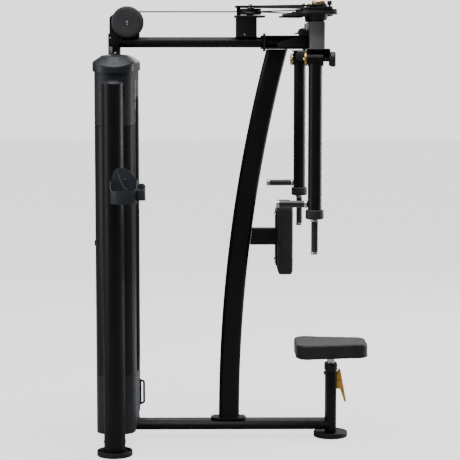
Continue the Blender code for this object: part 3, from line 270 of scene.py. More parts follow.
MATERIALS = {
    "powder_coat": powder_coat("black_powder_coat", (0.0038, 0.0038, 0.0040), (0.0060, 0.0060, 0.0062)),
    "head_coat": powder_coat("head_powder_coat", (0.0150, 0.0150, 0.0155), (0.0200, 0.0200, 0.0206)),
    # painted reflection: this light grey stands in for the bright reflection on the cross-beam's flat end
    # faces
    "end_grey_painted_reflection": powder_coat("end_face_painted_reflection", (0.15, 0.151, 0.154), (0.175, 0.176, 0.179), 0.4, 0.5),
    "rubber_feet": rubber("foot_rubber", (0.006, 0.006, 0.006), (0.011, 0.011, 0.011), 0.45, 0.62),
    "rubber_grip": rubber("grip_rubber", (0.018, 0.018, 0.019), (0.030, 0.030, 0.031), 0.5, 0.68),
    "black_plastic": moulded("black_moulding", (0.012, 0.013, 0.015), (0.018, 0.019, 0.022), 0.34, 0.48),
    "cover_plastic": moulded("cover_moulding", (0.030, 0.031, 0.034), (0.042, 0.043, 0.046), 0.42, 0.55),
    "cap_plastic": moulded("cap_moulding", (0.015, 0.0175, 0.022), (0.020, 0.023, 0.029), 0.30, 0.38),
    "shroud_plastic": moulded("shroud_moulding", (0.0150, 0.0180, 0.0225), (0.0195, 0.0230, 0.0285),
                              0.40, 0.50),
    "holder_plastic": moulded("holder_moulding", (0.024, 0.028, 0.035), (0.031, 0.036, 0.044), 0.42, 0.52),
    "grip_gloss": moulded("level_grip", (0.016, 0.016, 0.017), (0.022, 0.022, 0.023), 0.20, 0.26,
                          2200.0, 0.05, 0.6),
    "smoked_panel": smoked_panel(),
    "upholstery": vinyl(),
    "zinc_steel": brushed("zinc_steel", (0.52, 0.52, 0.53), (0.66, 0.66, 0.66), 0.24, 0.40, (1, 1, 0.1)),
    "bolt_steel": brushed("bolt_steel", (0.40, 0.40, 0.41), (0.56, 0.56, 0.56), 0.28, 0.42, (1, 1, 1)),
    "bolt_dark": brushed("bolt_dark", (0.10, 0.10, 0.105), (0.16, 0.16, 0.165), 0.35, 0.50, (1, 1, 1)),
    "brass": brushed("brass_bush", (0.55, 0.36, 0.11), (0.70, 0.49, 0.18), 0.22, 0.36, (1, 1, 0.2)),
    "iron_plates": cast_iron(),
    "pulley_nylon": moulded("pulley_nylon", (0.010, 0.010, 0.011), (0.016, 0.016, 0.017), 0.35, 0.5),
    "cable_sheath": cable_jacket(),
    "yellow_lever": yellow_paint(),
    "placard": paper("placard_face", (0.050, 0.055, 0.063), (0.060, 0.065, 0.074)),
    "placard_light": paper("placard_mark", (0.20, 0.205, 0.21), (0.24, 0.245, 0.25)),
}


# -------------------------------------------------------------- mesh building
def put(name, data, centre=(0, 0, 0), turn=ALONG_Z):
    piece = bpy.data.objects.new(name, data)
    bpy.context.scene.collection.objects.link(piece)
    piece.matrix_world = Matrix.Translation(centre) @ turn.to_4x4()
    return piece


def as_mesh(name, edit):
    """The edited geometry as a new mesh."""
    mesh = bpy.data.meshes.new(name)
    edit.to_mesh(mesh)
    edit.free()
    return mesh


def applied(piece, weld=0.01 * MM):
    """The piece as a plain mesh, with its modifiers and its place applied."""
    bpy.context.view_layer.update()
    evaluated = piece.evaluated_get(bpy.context.evaluated_depsgraph_get())
    mesh = bpy.data.meshes.new_from_object(evaluated)
    mesh.transform(piece.matrix_world)
    name = piece.name
    bpy.data.objects.remove(piece, do_unlink=True)
    edit = bmesh.new()
    edit.from_mesh(mesh)
    if weld:
        bmesh.ops.remove_doubles(edit, verts=edit.verts, dist=weld)
    bmesh.ops.recalc_face_normals(edit, faces=edit.faces)
    edit.to_mesh(mesh)
    edit.free()
    return put(name, mesh)


def softened(piece, width, segments=2, degrees=30):
    """Round the piece's edges and shade it smooth across its curves."""
    if width:
        bevel = piece.modifiers.new("edges", "BEVEL")
        bevel.width = width
        bevel.segments = segments
        bevel.limit_method = "ANGLE"
        bevel.angle_limit = math.radians(degrees)
        piece = applied(piece, 0.001 * MM)
    piece.data.shade_smooth()
    piece.data.set_sharp_from_angle(angle=math.radians(degrees))
    return piece


def turned(name, profile, centre, turn=ALONG_Z, sides=96, closed=False, smooth=28):
    """Turn a profile of (radius, height) points, listed top to bottom."""
    mesh = bpy.data.meshes.new(name)
    edges = [(i, i + 1) for i in range(len(profile) - 1)]
    if closed:
        edges.append((len(profile) - 1, 0))
    mesh.from_pydata([(radius, 0, height) for radius, height in profile], edges, [])
    piece = put(name, mesh, centre, turn)
    screw = piece.modifiers.new("turn", "SCREW")
    screw.steps = sides
    screw.render_steps = sides
    screw.use_merge_vertices = True
    screw.merge_threshold = 0.01 * MM
    return softened(applied(piece), 0, degrees=smooth)


def fillet(points, radius, steps=4):
    """An open profile whose inner corners are rounded where there is room."""
    result = [points[0]]
    for i in range(1, len(points) - 1):
        here, before, after = Vector(points[i]), Vector(points[i - 1]), Vector(points[i + 1])
        back, ahead = before - here, after - here
        reach = min(radius, back.length * 0.45, ahead.length * 0.45)
        start = here + back.normalized() * reach
        end = here + ahead.normalized() * reach
        for k in range(steps + 1):
            t = k / steps
            result.append(tuple(start * (1 - t) ** 2 + here * 2 * t * (1 - t) + end * t ** 2))
    result.append(points[-1])
    return result


def oval(width, height, steps=16):
    """A flat oval: half circles on the short sides."""
    radius = min(width, height) / 2
    reach = abs(width - height) / 2
    points = []
    for i in range(2 * steps + 2):
        half = i // (steps + 1)
        angle = math.pi * (i - half) / steps - math.pi / 2
        across = radius * math.cos(angle) + (reach if half == 0 else -reach)
        along = radius * math.sin(angle)
        points.append((across, along) if width >= height else (-along, across))
    return points


def rounded(corners, radius, steps=6):
    """An outline through corners, each of them rounded by an arc."""
    points = []
    count = len(corners)
    radii = radius if isinstance(radius, (list, tuple)) else [radius] * count
    for i, corner in enumerate(corners):
        here = Vector(corner)
        back = (Vector(corners[i - 1]) - here).normalized()
        ahead = (Vector(corners[(i + 1) % count]) - here).normalized()
        half = back.angle(ahead) / 2
        middle = here + (back + ahead).normalized() * (radii[i] / math.sin(half))
        start = here + back * (radii[i] / math.tan(half)) - middle
        end = here + ahead * (radii[i] / math.tan(half)) - middle
        sweep = start.angle_signed(end)
        for k in range(steps + 1):
            points.append(tuple(middle + Matrix.Rotation(-sweep * k / steps, 2) @ start))
    return points


def rectangle(width, height, radius, steps=6):
    x, y = width / 2, height / 2
    return rounded([(-x, -y), (x, -y), (x, y), (-x, y)], radius, steps)


def extruded(name, outlines, length, centre, turn=ALONG_Z, edge=0.0, segments=2):
    """A flat outline, with any holes after it, given a thickness."""
    curve = bpy.data.curves.new(name, "CURVE")
    curve.dimensions = "2D"
    curve.fill_mode = "BOTH"
    curve.extrude = length / 2
    for outline in outlines:
        spline = curve.splines.new("POLY")
        spline.points.add(len(outline) - 1)
        for point, (x, y) in zip(spline.points, outline):
            point.co = (x, y, 0, 1)
        spline.use_cyclic_u = True
    return softened(applied(put(name, curve, centre, turn)), edge, segments)


def box(name, x, y, z, edge=0.0, segments=2):
    """A block between the limits x, y and z, with rounded edges."""
    edit = bmesh.new()
    bmesh.ops.create_cube(edit, size=1.0)
    mesh = as_mesh(name, edit)
    mesh.transform(Matrix.Diagonal((x[1] - x[0], y[1] - y[0], z[1] - z[0], 1.0)))
    centre = ((x[0] + x[1]) / 2, (y[0] + y[1]) / 2, (z[0] + z[1]) / 2)
    return softened(applied(put(name, mesh, centre)), edge, segments)


def tube(name, points, radii, closed=False, resolution=4):
    """A round bar through points; radii is one radius, or one for each point."""
    curve = bpy.data.curves.new(name, "CURVE")
    curve.dimensions = "3D"
    curve.bevel_depth = 1.0
    curve.bevel_resolution = resolution
    curve.use_fill_caps = not closed
    spline = curve.splines.new("POLY")
    spline.points.add(len(points) - 1)
    for i, (point, place) in enumerate(zip(spline.points, points)):
        point.co = (*place, 1)
        point.radius = radii[i] if isinstance(radii, (list, tuple)) else radii
    spline.use_cyclic_u = closed
    return softened(applied(put(name, curve)), 0, degrees=50)


def joined(name, pieces):
    """Several solids as one object."""
    edit = bmesh.new()
    for piece in pieces:
        part = piece.data.copy()
        part.transform(piece.matrix_world)
        edit.from_mesh(part)
        bpy.data.objects.remove(piece, do_unlink=True)
    return softened(put(name, as_mesh(name, edit)), 0)


def loft(name, rings, caps=True):
    """Skin rings that have the same number of points, each anticlockwise from above."""
    edit = bmesh.new()
    loops = [[edit.verts.new(point) for point in ring] for ring in rings]
    for lower, upper in zip(loops, loops[1:]):
        for i, vertex in enumerate(lower):
            j = (i + 1) % len(lower)
            edit.faces.new((vertex, lower[j], upper[j], upper[i]))
    if caps:
        edit.faces.new(loops[0])
        edit.faces.new(loops[-1])
        bmesh.ops.recalc_face_normals(edit, faces=edit.faces)
    return put(name, as_mesh(name, edit))


def combine(piece, holes):
    """The piece with other solids cut from it."""
    for hole in holes:
        modifier = piece.modifiers.new("combine", "BOOLEAN")
        modifier.operation = "DIFFERENCE"
        modifier.solver = "EXACT"
        modifier.object = hole
    result = applied(piece)
    for hole in holes:
        bpy.data.objects.remove(hole, do_unlink=True)
    return result


def finish_piece(piece, body, material, nodes=()):
    """Give a piece its material, its body and the nodes it stands for."""
    piece.data.materials.clear()
    piece.data.materials.append(MATERIALS[material])
    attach(piece, body)
    if nodes:
        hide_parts(*nodes)
    return piece


def stands_for(piece, node, material=None):
    """The piece replaces one CAD node and takes its body and finish."""
    return finish_piece(piece, BODY[node], material or SLOT[node], (node,))


def trim_piece(piece, body, material):
    """An added piece, whose slot has the material's name."""
    return finish_piece(piece, body, material)


def refined(node, edge=1.0 * MM, material=None, segments=2, degrees=32):
    """The CAD solid itself, with merged faces, rounded edges and smooth curves."""
    edit = bmesh.new()
    edit.from_mesh(frame["nodes"][node].data)
    bmesh.ops.remove_doubles(edit, verts=edit.verts, dist=0.01 * MM)
    bmesh.ops.dissolve_limit(edit, angle_limit=math.radians(0.6), verts=edit.verts,
                             edges=edit.edges)
    name = f"{node}_fine"
    piece = softened(put(name, as_mesh(name, edit)), edge, segments, degrees)
    return stands_for(piece, node, material)


def middle_of(node):
    low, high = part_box(node)
    return Vector([(a + b) / 2 for a, b in zip(low, high)])


# ----------------------------------------------------------- small hardware
def heading(direction):
    """A turn that takes +Z to a direction."""
    return Vector((0, 0, 1)).rotation_difference(Vector(direction)).to_matrix()


def hex_bolt(place, direction, size):
    """A hexagon head with its washer, seated on a face at a place."""
    bore, rim, thick = size * 0.5, size * 1.05, size * 0.2
    profile = [(bore, thick), (size, thick), (rim, size * 0.15), (rim, 0), (bore, 0)]
    washer = turned("washer", profile, place, heading(direction), 32, closed=True)
    head_place = Vector(place) + Vector(direction) * thick
    radius = size * 1.625 / 1.732
    edit = bmesh.new()
    bmesh.ops.create_cone(edit, cap_ends=True, segments=6, radius1=radius, radius2=radius,
                          depth=size * 0.65)
    mesh = as_mesh("bolt_head", edit)
    mesh.transform(Matrix.Translation((0, 0, size * 0.325)))
    head = softened(applied(put("bolt_head", mesh, head_place, heading(direction))), size * 0.10)
    return [washer, head]


def button_bolt(place, direction, radius):
    """A low domed head with a socket."""
    profile = [(0, 0.30), (0.30, 0.30), (0.32, 0.62), (0.55, 0.60), (0.82, 0.42), (1.0, 0.12),
               (1.0, 0), (0, 0)]
    scaled = [(r * radius, h * radius) for r, h in profile]
    return [turned("button", fillet(scaled, radius * 0.12, 2), place, heading(direction), 32)]


def weld_bead(points, radius=2.4 * MM, pitch=3.2 * MM):
    """A rippled bead along a closed path, as a weld leaves it."""
    path = []
    for start, end in zip(points, [*points[1:], points[0]]):
        a, b = Vector(start), Vector(end)
        count = max(1, round((b - a).length / (pitch / 4)))
        path += [a.lerp(b, k / count) for k in range(count)]
    radii = [radius * (0.86 + 0.14 * abs(math.sin(math.pi * i / 4)) +
                       0.06 * noise.noise(point * 400)) for i, point in enumerate(path)]
    return tube("bead", path, radii, True, 2)


def beads(name, body, paths):
    """Weld beads along paths, as one piece."""
    pieces = [weld_bead(points) for points in paths]
    return finish_piece(joined(name, pieces), body, "powder_coat")


def bolts(name, pieces, material="bolt_steel", body="frame"):
    """Fasteners as one piece."""
    return finish_piece(joined(name, pieces), body, material)


# -------------------------------------------------------------- camera, light
def camera():
    yaw = math.radians(0.6)
    distance = 8.0
    item = bpy.data.objects.new("camera", bpy.data.cameras.new("camera"))
    bpy.context.scene.collection.objects.link(item)
    item.location = (-0.020 - distance * math.tan(yaw), -distance, 1.85)
    item.rotation_euler = (math.radians(84.1), 0, -yaw)
    item.data.lens = 129.1
    item.data.sensor_width = 36
    bpy.context.scene.camera = item


def floor():
    reach = 30
    mesh = bpy.data.meshes.new("floor")
    mesh.from_pydata([(-reach, -reach, 0), (reach, -reach, 0), (reach, reach, 0),
                      (-reach, reach, 0)], [], [(0, 1, 2, 3)])
    item = put("floor", mesh, (0, 0, -0.0005))
    shader = Shader("floor_paint", 0.9, Specular_IOR_Level=0.0, Emission_Color=(1, 1, 1, 1))
    shader.vary((0.34, 0.34, 0.34), (0.36, 0.36, 0.36), 0.7)
    path = shader.add("ShaderNodeLightPath")
    glow = shader.remap(path.outputs["Is Camera Ray"], 0.0, 1.0, 0.0, FLOOR_SEEN)
    shader.tree.links.new(glow, shader.principled.inputs["Emission Strength"])
    item.data.materials.append(shader.material)


def sky():
    """A white surround whose light is gentler than it looks."""
    world = bpy.data.worlds.new("studio")
    bpy.context.scene.world = world
    world.use_nodes = True
    nodes, links = world.node_tree.nodes, world.node_tree.links
    background = nodes["Background"]
    background.inputs["Color"].default_value = (1, 1, 1, 1)
    path = nodes.new("ShaderNodeLightPath")
    strength = nodes.new("ShaderNodeMapRange")
    strength.inputs["To Min"].default_value = SKY_LIGHT
    strength.inputs["To Max"].default_value = SKY_SEEN
    links.new(path.outputs["Is Camera Ray"], strength.inputs["Value"])
    links.new(strength.outputs["Result"], background.inputs["Strength"])


def lamp(name, place, aim, size, power):
    light = bpy.data.lights.new(name, "AREA")
    light.shape = "RECTANGLE"
    light.size, light.size_y = size
    light.energy = power
    item = bpy.data.objects.new(name, light)
    bpy.context.scene.collection.objects.link(item)
    item.location = place
    item.rotation_euler = (Vector(aim) - Vector(place)).to_track_quat("-Z", "Y").to_euler()


def stage():
    camera()
    floor()
    sky()
    lamp("top", (0.0, -1.0, 5.5), (0, 0, 1.0), (4.0, 4.0), 300)
    lamp("left", (-4.5, -1.6, 2.2), (-0.4, 0, 1.0), (2.4, 4.0), 90)
    lamp("right", (4.8, 2.4, 2.4), (0.0, 0, 1.0), (2.4, 4.0), 290)
    lamp("back", (0.5, 4.5, 3.5), (0, 0, 1.0), (4.0, 3.0), 60)


# ------------------------------------------------------------------ base frame
def feet():
    """Dished discs: the tower's are deeper than the seat's."""
    for node, depth in (("tower_foot_left", 12 * MM), ("tower_foot_right", 12 * MM),
                        ("seat_foot", 5 * MM)):
        low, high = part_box(node)
        centre = middle_of(node)
        radius = (high[0] - low[0]) / 2
        plate, rim = high[2] - depth, high[2] - 3 * MM
        inner = radius - 7 * MM
        profile = [(0.030, plate), (inner - 3 * MM, plate), (inner, rim), (radius - 0.5 * MM, rim),
                   (radius, 0.004), (radius - 0.003, 0), (0.030, 0)]
        disc = turned(f"{node}_fine", fillet(profile, 1.6 * MM), (centre.x, centre.y, 0),
                      sides=128, closed=True)
        stands_for(disc, node)


def uprights():
    """Round tubes, each closed by a low domed plug."""
    plug = 0.018
    for side, _ in SIDES:
        node = f"tower_upright_{side}"
        low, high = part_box(node)
        centre = middle_of(node)
        place = (centre.x, centre.y, 0)
        radius = (high[0] - low[0]) / 2
        bore = radius - TUBE_WALL
        shoulder = high[2] - plug
        dome = [(radius * math.sin(math.radians(a)), shoulder + plug * math.cos(math.radians(a)))
                for a in range(0, 85, 6)]
        lip = [(radius, shoulder + 0.0015), (radius, shoulder - 0.002), (bore, shoulder - 0.002)]
        trim_piece(turned(f"upright_cap_{side}", dome + lip, place), "frame", "black_plastic")
        top = shoulder - 0.0026
        profile = [(radius, top), (radius, low[2]), (bore, low[2]), (bore, top)]
        stands_for(turned(f"{node}_fine", profile, place, closed=True), node)


def top_beam():
    """A flat-oval tube along the whole of its CAD node."""
    low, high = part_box("top_beam")
    length, width, height = [b - a for a, b in zip(low, high)]
    outlines = [oval(width, height), oval(width - 2 * TUBE_WALL, height - 2 * TUBE_WALL)]
    beam = extruded("top_beam_fine", outlines, length, middle_of("top_beam"), ALONG_X, 0.6 * MM)
    stands_for(beam, "top_beam")


def base():
    """The frame tubes on the floor and across the top, and their welds."""
    feet()
    uprights()
    for node in ("tower_base_tube", "tower_top_tube", "base_beam"):
        refined(node, 0.0, degrees=50)
    top_beam()
    low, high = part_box("base_beam")
    middle = middle_of("base_beam").z
    outline = oval(0.100, 0.050)
    paths = [[(low[0] + 0.001, y, z + middle) for y, z in outline],
             [(high[0] - 0.0275, y, z + middle) for y, z in outline if abs(y) < 0.026]]
    cross = middle_of("tower_base_tube")
    edge, radius = 0.341, 0.050
    for s in (-1, 1):
        paths.append([(x + cross.x, s * (edge + radius - math.sqrt(max(0, radius ** 2 - x * x))),
                       cross.z + h) for x, h in oval(0.0995, 0.0497)])
    beads("base_welds", "frame", paths)


def mast():
    """A flat-oval tube bent to an arc, on a plate with one bolt at each end."""
    low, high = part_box("mast")
    beam_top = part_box("base_beam")[1][2]
    bottom = beam_top + 11.5 * MM
    start_x, radius, steps = -0.025, 7.1, 48
    lean_top = math.asin((high[2] - bottom) / radius)
    rings = []
    for i in range(steps + 1):
        angle = lean_top * i / steps
        x = start_x + radius * (1 - math.cos(angle))
        z = bottom + radius * math.sin(angle)
        rings.append([(x + a / math.cos(angle), b, z) for a, b in oval(0.100, 0.050, 12)])
    piece = loft("mast_fine", rings, False)
    wall = piece.modifiers.new("wall", "SOLIDIFY")
    wall.thickness = TUBE_WALL
    wall.offset = -1
    piece = softened(applied(piece), 0, degrees=50)
    plate_low = beam_top + 0.3 * MM
    plate_end = 0.059
    centre = ((low[0] + plate_end) / 2, 0, (plate_low + bottom) / 2)
    plate = extruded("mast_plate", [rectangle(0.173, 0.084, 0.038, 12)], bottom - plate_low,
                     centre, edge=2.0 * MM, segments=3)
    stands_for(joined("mast_fine", [piece, plate]), "mast")
    ring = [(start_x + a, b, bottom + 0.5 * MM) for a, b in oval(0.101, 0.051)]
    beads("mast_welds", "frame", [ring])
    heads = []
    for x in (low[0] + 0.016, plate_end - 0.016):
        heads += hex_bolt((x, 0, bottom), (0, 0, 1), 9 * MM)
    bolts("mast_bolts", heads)


# ------------------------------------------------------------- pads, by cloth
def remeshed(piece, voxel=5.5 * MM):
    """An even mesh of the same shape, for cloth."""
    remesh = piece.modifiers.new("voxels", "REMESH")
    remesh.mode = "VOXEL"
    remesh.voxel_size = voxel
    return applied(piece, 0)


def inflated(piece, cap, pressure=4.0, frames=20):
    """Blow a closed shape up as cloth, and limit how far each point moves."""
    rest = [vertex.co.copy() for vertex in piece.data.vertices]
    cloth = piece.modifiers.new("cloth", "CLOTH")
    cloth.settings.use_pressure = True
    cloth.settings.uniform_pressure_force = pressure
    cloth.settings.effector_weights.gravity = 0
    cloth.settings.tension_stiffness = 20
    cloth.settings.compression_stiffness = 20
    cloth.settings.bending_stiffness = 1.0
    cloth.point_cache.frame_start = 1
    cloth.point_cache.frame_end = frames
    for number in range(1, frames + 1):
        bpy.context.scene.frame_set(number)
    piece = applied(piece, 0)
    bpy.context.scene.frame_set(1)
    for vertex, start in zip(piece.data.vertices, rest):
        step = vertex.co - start
        if step.length > cap:
            vertex.co = start + step * (cap / step.length)
    return piece


def smoothed(piece, times=4):
    edit = bmesh.new()
    edit.from_mesh(piece.data)
    for _step in range(times):
        bmesh.ops.smooth_vert(edit, verts=edit.verts, factor=0.5, use_axis_x=True,
                              use_axis_y=True, use_axis_z=True)
    edit.to_mesh(piece.data)
    edit.free()
    return piece


def fit_to(piece, low, high):
    """Scale a pad so that its box is exactly the space it has."""
    points = [vertex.co for vertex in piece.data.vertices]
    for axis in range(3):
        small = min(point[axis] for point in points)
        large = max(point[axis] for point in points)
        scale = (high[axis] - low[axis]) / (large - small)
        for point in points:
            point[axis] = low[axis] + (point[axis] - small) * scale
    return piece


def padded_shape(piece, crown, low, high):
    """Blow a remeshed pad up, smooth it and fit it to its space."""
    piece = smoothed(inflated(piece, crown))
    fit_to(piece, low, high)
    subdivide = piece.modifiers.new("fine", "SUBSURF")
    subdivide.levels = 1
    subdivide.render_levels = 1
    piece = applied(piece, 0)
    piece.data.shade_smooth()
    return piece


def seam(name, path, radius, body="frame"):
    """A sewn welt that runs round a pad."""
    return trim_piece(tube(name, path, radius, True, 3), body, "upholstery")


def seat_pad():
    low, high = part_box("seat_pad")
    radii = [0.055, 0.050, 0.050, 0.055]
    centre = middle_of("seat_pad")
    inset = 3 * MM
    pad = extruded("seat_pad_soft", [rounded(seat_plan(low, high, inset), radii, 8)],
                   high[2] - low[2] - 2 * inset, (0, 0, centre.z), ALONG_Z, 0.015, 5)
    pad = padded_shape(remeshed(pad), 3.5 * MM, low, high)
    stands_for(pad, "seat_pad")
    path = [(x, y, low[2] + 9 * MM) for x, y in rounded(seat_plan(low, high, 1.2 * MM), radii, 12)]
    seam("seat_pad_welt", path, 1.6 * MM, "seat")


def seat_plan(low, high, inset):
    """Corners of the wedge-shaped seat: wide at the front, narrow at the back."""
    wide, narrow = high[1] - inset + 9.7 * MM, 0.110 - inset
    return [(low[0] + inset, -wide), (high[0] - inset, -narrow), (high[0] - inset, narrow),
            (low[0] + inset, wide)]


def chest_pad():
    """The upright pad, whose lower back edge is cut to a slant."""
    low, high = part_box("chest_pad")
    inset = 3 * MM
    size = [b - a - 2 * inset for a, b in zip(low, high)]
    centre = middle_of("chest_pad")
    pad = remeshed(extruded("chest_pad_soft", [rectangle(size[1], size[2], 0.038, 8)], size[0],
                            centre, ALONG_X, 0.013, 5))
    heel, depth = 0.030, 0.004
    for vertex in pad.data.vertices:
        above = vertex.co.z - low[2]
        if above < heel:
            share = (high[0] - vertex.co.x) / (high[0] - low[0])
            vertex.co.x += depth * (1 - above / heel) * share
    pad = padded_shape(pad, 3 * MM, low, high)
    stands_for(pad, "chest_pad")
    x = low[0] + 0.014
    outline = rectangle(size[1] + 4.5 * MM, size[2] - 8 * MM, 0.040, 12)
    seam("chest_pad_welt", [(x, y, centre.z + z) for y, z in outline], 1.4 * MM)


# --------------------------------------------------------------------- tower
def round_ended(half_x, straight, end, steps=40):
    """A plan with straight long sides and elliptical ends."""
    half = []
    for i in range(steps + 1):
        angle = math.pi * i / steps
        half.append((half_x * math.cos(angle), straight + (end - straight) * math.sin(angle)))
    return half + [(-x, -y) for x, y in half]


def panel_plan(inset, half_x, end, steps=16):
    """The shell's plan: flat front and back that turn in slightly before a shallow bowed end."""
    corner_x, corner_y = half_x - 0.0100 - inset, end - 0.0400 - inset * 0.6
    bow = end - inset - corner_y
    radius = (corner_x ** 2 + bow ** 2) / (2 * bow)
    sweep = math.asin(corner_x / radius)
    middle = end - inset - radius
    side = (half_x - inset, STRAIGHT_Y - inset * 0.3)
    half = [side]
    for i in range(2 * steps + 1):
        angle = sweep * (1 - i / steps)
        half.append((radius * math.sin(angle), middle + radius * math.cos(angle)))
    half.append((-side[0], side[1]))
    return half + [(-x, -y) for x, y in half]


def shroud_ring(node, trim, hole):
    """A wrap-round shell as tall as its CAD node, with a shadow gap at its joints."""
    low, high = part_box(node)
    half_x, end = (high[0] - low[0]) / 2, high[1]
    loops = [panel_plan(0, half_x, end), panel_plan(4 * MM, half_x, end)]
    bottom, top = low[2] + trim[0], high[2] - trim[1]
    centre = (middle_of(node).x, 0, (bottom + top) / 2)
    ring = combine(extruded(f"{node}_fine", loops, top - bottom, centre), hole)
    return stands_for(softened(ring, 1.0 * MM, 3, 12), node)


def shroud():
    """The shell: lower and upper mouldings with a smoked sheet between them."""
    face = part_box("shroud_window")[1][0]
    gap, clear = 1.2 * MM, 3 * MM
    beam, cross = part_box("base_beam"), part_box("tower_base_tube")
    notch_z = (0, beam[1][2] + clear)
    notches = [box("beam_notch", (face - 0.02, face + 0.02),
                   (beam[0][1] - clear, beam[1][1] + clear), notch_z),
               box("cross_notch", (cross[0][0] - clear, cross[1][0] + clear), (-0.4, 0.4), notch_z)]
    shroud_ring("shroud_lower", (-SKIRT, gap), notches)
    bar = middle_of("tower_top_tube")
    passage = box("passage", (bar.x - 0.052, bar.x + 0.052), (-0.4, 0.4),
                  (bar.z - 0.027, bar.z + 0.027))
    shroud_ring("shroud_upper", (gap, 0), [passage])
    slot = box("slot", (face - 0.02, face + 0.02), (-SLOT_Y, SLOT_Y), SLOT_Z)
    shroud_ring("shroud_window", (0, 0), [slot])
    front_trim(face)
    placards(face)
    shroud_cap()
    shroud_screws(face)
    tower_handle()


def faceted(plan, span):
    """Straighten the plan between every so many points."""
    result = []
    half = len(plan) // 2
    for i, point in enumerate(plan):
        start = i - (i % half) % span if i % half < half - 1 else i
        end = min(start + span, len(plan) - 1)
        share = (i - start) / span
        straight = Vector(plan[start]).lerp(Vector(plan[end]), share)
        result.append(point if i == start else tuple(straight))
    return result


def shroud_cap():
    """The lid: a skirt that dips at both ends, a domed roof and an opening for the neck."""
    centre_x = middle_of("shroud_cap").x
    base_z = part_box("shroud_upper")[1][2] + 0.3 * MM
    rings = []
    for half_x, straight, end, side_z, end_z in CAP_LEVELS:
        plan = round_ended(half_x, straight, end)
        ring = []
        for x, y in faceted(plan, 8) if side_z > 0.05 else plan:
            share = max(0.0, abs(y) - straight) / (end - straight)
            ring.append((centre_x + x, y, base_z + side_z + (end_z - side_z) * share ** 2))
        rings.append(ring)
    shell = loft("shroud_cap_fine", rings[CAP_OUTER:] + rings[:CAP_OUTER])
    (x0, y0, _), (x1, y1, _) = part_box("neck")
    clear = 1 * MM
    opening = box("cap_opening", (x0 - clear, x1 + clear), (y0 - clear, y1 + clear),
                  (base_z - 0.05, base_z + 0.2))
    shell = combine(shell, [opening])
    stands_for(softened(shell, 0.8 * MM, 2, 14), "shroud_cap", "cap_plastic")


def front_trim(face):
    """The black surround that runs down the front, with the selector slot in it."""
    bottom, top = 0.335, 1.675
    centre_z = (bottom + top) / 2
    height = SLOT_Z[1] - SLOT_Z[0]
    lift = SLOT_Z[0] - centre_z + height / 2
    outer = rectangle(0.130, top - bottom, 0.020)
    inner = [(x, y + lift) for x, y in rectangle(2 * SLOT_Y, height, 0.004)]
    trim = extruded("front_trim", [outer, inner], 9 * MM, (face + 4.8 * MM, 0, centre_z), ALONG_X,
                    3 * MM, 3)
    trim_piece(trim, "frame", "black_plastic")


def placards(face):
    """Blank instruction plates, with plain blocks where the drawings would be."""
    z = (1.600, 1.752)
    marks = []
    for s in (-1, 1):
        y = sorted((s * 0.080, s * 0.205))
        plate = box(f"placard_plate_{s}", (face + 0.2 * MM, face + 1.4 * MM), y, z, 0.5 * MM)
        finish_piece(plate, "frame", "placard")
        low_y = y[0] + 0.012
        for row in range(3):
            low_z = z[0] + 0.014 + row * 0.046
            marks.append(box(f"placard_mark_{s}_{row}", (face + 1.5 * MM, face + 1.9 * MM),
                             (low_y, low_y + 0.100), (low_z, low_z + 0.032), 0.2 * MM))
    finish_piece(joined("placard_marks", marks), "frame", "placard_light")


def shroud_screws(face):
    """Screws along the front joints, and the latch on the back."""
    heads = []
    for z in (0.352, 1.560):
        for y in (-0.235, -0.120, 0.120, 0.235):
            heads += button_bolt((face, y, z), (1, 0, 0), 5 * MM)
    bolts("shroud_screws", heads, "bolt_dark")
    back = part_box("shroud_window")[0][0]
    profile = [(0, 8.5 * MM), (0.012, 8.5 * MM), (0.014, 6 * MM), (0.014, 0), (0, 0)]
    knob = turned("shroud_latch", fillet(profile, 2 * MM), (back, -0.200, 0.983),
                  heading((-1, 0, 0)), 48)
    trim_piece(knob, "frame", "black_plastic")


def tower_handle():
    """A round pull bar with bent ends, on a slim plate."""
    low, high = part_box("tower_handle")
    y = middle_of("tower_handle").y
    radius, bend = 5.6 * MM, 0.010
    out = high[0] - radius - 6 * MM
    path = [(low[0], y, low[2] + radius)]
    for z, first in ((low[2] + radius + bend, -90), (high[2] - radius - bend, 0)):
        for k in range(9):
            angle = math.radians(first + 90 * k / 8)
            path.append((out - bend + bend * math.cos(angle), y, z + bend * math.sin(angle)))
    path.append((low[0], y, high[2] - radius))
    stands_for(tube("tower_handle_fine", path, radius, False, 6), "tower_handle")
    plate = box("handle_plate", (low[0], low[0] + 6 * MM), (y - 0.012, y + 0.012),
                (low[2] - 0.002, high[2] + 0.002), 1 * MM)
    trim_piece(plate, "frame", "black_plastic")


def stack():
    """The plates and their rods, and the pin that selects them."""
    for side, _ in SIDES:
        refined(f"guide_rod_{side}", 0.6 * MM)
    refined("resting_plates", 1.2 * MM)
    refined("lifted_plates", 1.2 * MM)
    low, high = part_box("selector_pin")
    start, end = low[0], high[0]
    collar, pin = end - 0.033, 0.0048
    profile = [(0, end), (0.012, end), (0.016, end - 0.004), (0.016, end - 0.018),
               (0.009, end - 0.024), (0.009, collar), (pin, collar), (pin, start + 0.003),
               (0.003, start), (0, start)]
    stands_for(turned("selector_pin_fine", fillet(profile, 1.5 * MM),
                      (0, 0, middle_of("selector_pin").z), heading((1, 0, 0)), 64), "selector_pin")


def bottle_holder():
    """The moulded scoop and its arch, on two screws."""
    refined("bottle_holder", 1.4 * MM, "holder_plastic", segments=3)
    holder_rib()
    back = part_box("bottle_holder")[1][1] - 4.6 * MM
    screws = []
    for z in (1.235, 1.300):
        screws += button_bolt((-0.505, back, z), (0, -1, 0), 5 * MM)
    bolts("holder_screws", screws, "bolt_dark")


